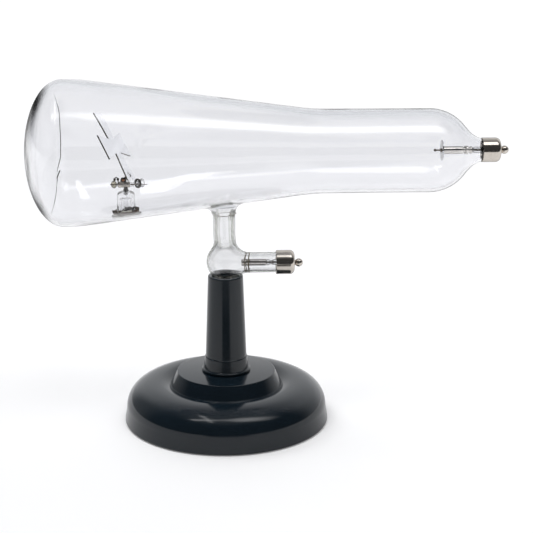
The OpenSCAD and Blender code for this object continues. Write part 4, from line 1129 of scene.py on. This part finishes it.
# --- Stage, lamps and camera
FLOOR_HALF = 40.0
LAMP_Y, LAMP_Z, SPILL_X = -0.37, 1.25, -0.15
FILL_AT = (-0.7, 0.35, 1.0)
FLOOR_WHITE, FAR_LIT, NEAR_LIT, FILL_LIT = 1.065, 0.2797, 0.5303, 0.4243
CAMERA_AT, CAMERA_DOWN, CAMERA_RIGHT, LENS = (-0.01023, -0.8564, 0.3395), 15.57, 2.41, 95.6


def stage_floor():
    h = FLOOR_HALF
    floor = mesh_object("floor", [(-h, -h, 0), (h, -h, 0), (h, h, 0), (-h, h, 0)], [(0, 1, 2, 3)])
    g = material("floor_white")
    path = g.add("LightPath").outputs
    x, y, _ = g.axes()
    # what shines back from the metal and the plastic: white behind, and a painted dark patch in front that
    # shows only in their gloss, a painted reflection
    front = g.mul(g.soft(y, -0.12, -0.30), g.soft(y, -0.80, -0.55))
    front = g.mul(front, g.soft(g.size(g.math("DIVIDE", x, y)), 0.30, 0.50, 1, 0))
    # and painted dark beyond it as well, but not for what is seen through the glass
    beyond = g.soft(y, -0.84, -0.92)
    dark = g.larger(front, g.mul(beyond, g.minus(1.0, path["Is Transmission Ray"])))
    dark = g.mul(dark, path["Is Glossy Ray"], 0.92)
    pale = g.mix(g.noise(3, 3), (0.80, 0.80, 0.81), (0.82, 0.82, 0.83))
    diffuse = g.add("BsdfDiffuse", {"Color": g.mix(dark, pale, (0, 0, 0))}).outputs[0]
    # it glows for the camera, through glass, and in what the gloss of the far side shows
    seen = g.math("MINIMUM", g.plus(path["Is Camera Ray"], path["Is Transmission Ray"]), 1.0)
    # painted reflection: to the right, in front, the floor also glows in gloss
    near = g.mul(g.soft(x, 0.13, 0.22, 0.0, 0.8), g.soft(y, 0.10, 0.0))
    gloss = g.larger(g.soft(y, 0.0, 0.25, 0.1, 0.95), near)
    gloss = g.mul(path["Is Glossy Ray"], gloss, g.minus(1.0, g.larger(front, beyond)))
    # its own white is what the lamps leave over: less near the stand, more further off
    own = FLOOR_WHITE - FAR_LIT
    for (lx, ly, lz), lit in (((SPILL_X, LAMP_Y, LAMP_Z), NEAR_LIT), (FILL_AT, FILL_LIT)):
        away = g.add("VectorMath", {0: g.position(), 1: (lx, ly, 0.0)}, operation="DISTANCE").outputs["Value"]
        reach = g.math("DIVIDE", away, lz)
        fall = g.math("POWER", g.plus(g.mul(reach, reach), 1.0), 2.0)
        own = g.minus(own, g.math("DIVIDE", lit, fall))
    glow = g.add("Emission", {"Strength": g.mul(g.larger(seen, gloss), own)}).outputs[0]
    g.show(g.add("AddShader", {0: diffuse, 1: glow}).outputs[0])
    floor.data.materials.append(M["floor_white"])
    floor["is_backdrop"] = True


def tube_light(light):
    """A tube behind a diffuser: brightest along its middle, thinner and weaker towards its left end."""
    g = Graph(light, empty=False)
    u, v, _ = g.axes(g.add("NewGeometry").outputs["Parametric"])
    off = g.math("DIVIDE", g.size(g.minus(v, 0.5)), g.soft(u, 0.34, 0.50, 0.45, 1.0))
    end = g.soft(u, 0.10, 0.34, 1.0, 0.40)
    left = g.larger(g.soft(u, 0.22, 0.58, 0.35, 1.0), end)
    level = g.mul(g.soft(off, 0.12, 0.5, 1.0, 0.0), left, g.soft(u, 0.54, 1.0, 1.0, 0.1))
    g.feed(next(n for n in g.tree.nodes if n.type == "EMISSION").inputs["Strength"], level)


def area(name, at, size, power, shine=True):
    """A lamp that shines straight down. Without shine it shows in no gloss and through no glass."""
    light = bpy.data.lights.new(name, "AREA")
    light.shape, light.energy = "RECTANGLE", power
    light.size, light.size_y = size
    ob = add_object(name, light)
    ob.visible_glossy = ob.visible_transmission = shine
    ob.location = at
    return light


stage_floor()
# The long soft box above, a little to the camera's side
tube_light(area("softbox_top", (0.25, LAMP_Y, LAMP_Z), (1.9, 0.62), 13.0))
# The same light's spill, which casts the shadow and shows in nothing
area("spill_top", (SPILL_X, LAMP_Y, LAMP_Z), (1.0, 0.5), 7.5, shine=False)
# A narrow strip across its left end
area("strip_left", (-0.32, LAMP_Y + 0.1, LAMP_Z - 0.02), (0.06, 0.8), 0.6)
# A broad fill from behind on the left, which only softens the shadow
area("fill_left", FILL_AT, (0.6, 0.6), 5.0, shine=False)

world = bpy.data.worlds.new("studio")
bpy.context.scene.world = world
g = Graph(world)
x, y, z = g.axes(g.add("TexCoord").outputs["Generated"])
back = g.mul(g.soft(y, 0.0, 0.5), g.soft(z, 0.55, 0.92, 0.95, 0.45))
low = g.mul(g.soft(x, 0.2, 0.35, 0.0, 0.12), g.soft(z, 0.3, 0.2))
back = g.plus(back, g.mul(low, g.soft(y, 0.5, 0.8)))
side = g.mul(g.soft(x, 0.5, 0.98, 1.0, 0.55), g.soft(x, -0.32, -0.7, 1.0, 0.3))
level = g.mul(g.larger(back, g.soft(z, 0.7, 0.97, 0.0, 0.35)), side)
sky = g.add("Background", {"Color": (0.97, 0.98, 1.0), "Strength": g.plus(g.mul(level, 0.95), 0.05)})
g.show(sky.outputs[0], "World")

cam = bpy.data.cameras.new("camera")
cam.lens, cam.sensor_width = LENS, 36.0
cam.clip_start, cam.clip_end = 0.05, 100.0
camera = add_object("camera", cam)
camera.location = CAMERA_AT
camera.rotation_euler = (radians(90 - CAMERA_DOWN), 0, radians(-CAMERA_RIGHT))
bpy.context.scene.camera = camera
bpy.context.scene.view_settings.view_transform = "Standard"


def plain(b):
    return [[float(v) for v in p] for p in b] if hasattr(b, "__len__") else b


{"loaded": plain(loaded_bounds), "finished": plain(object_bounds())}
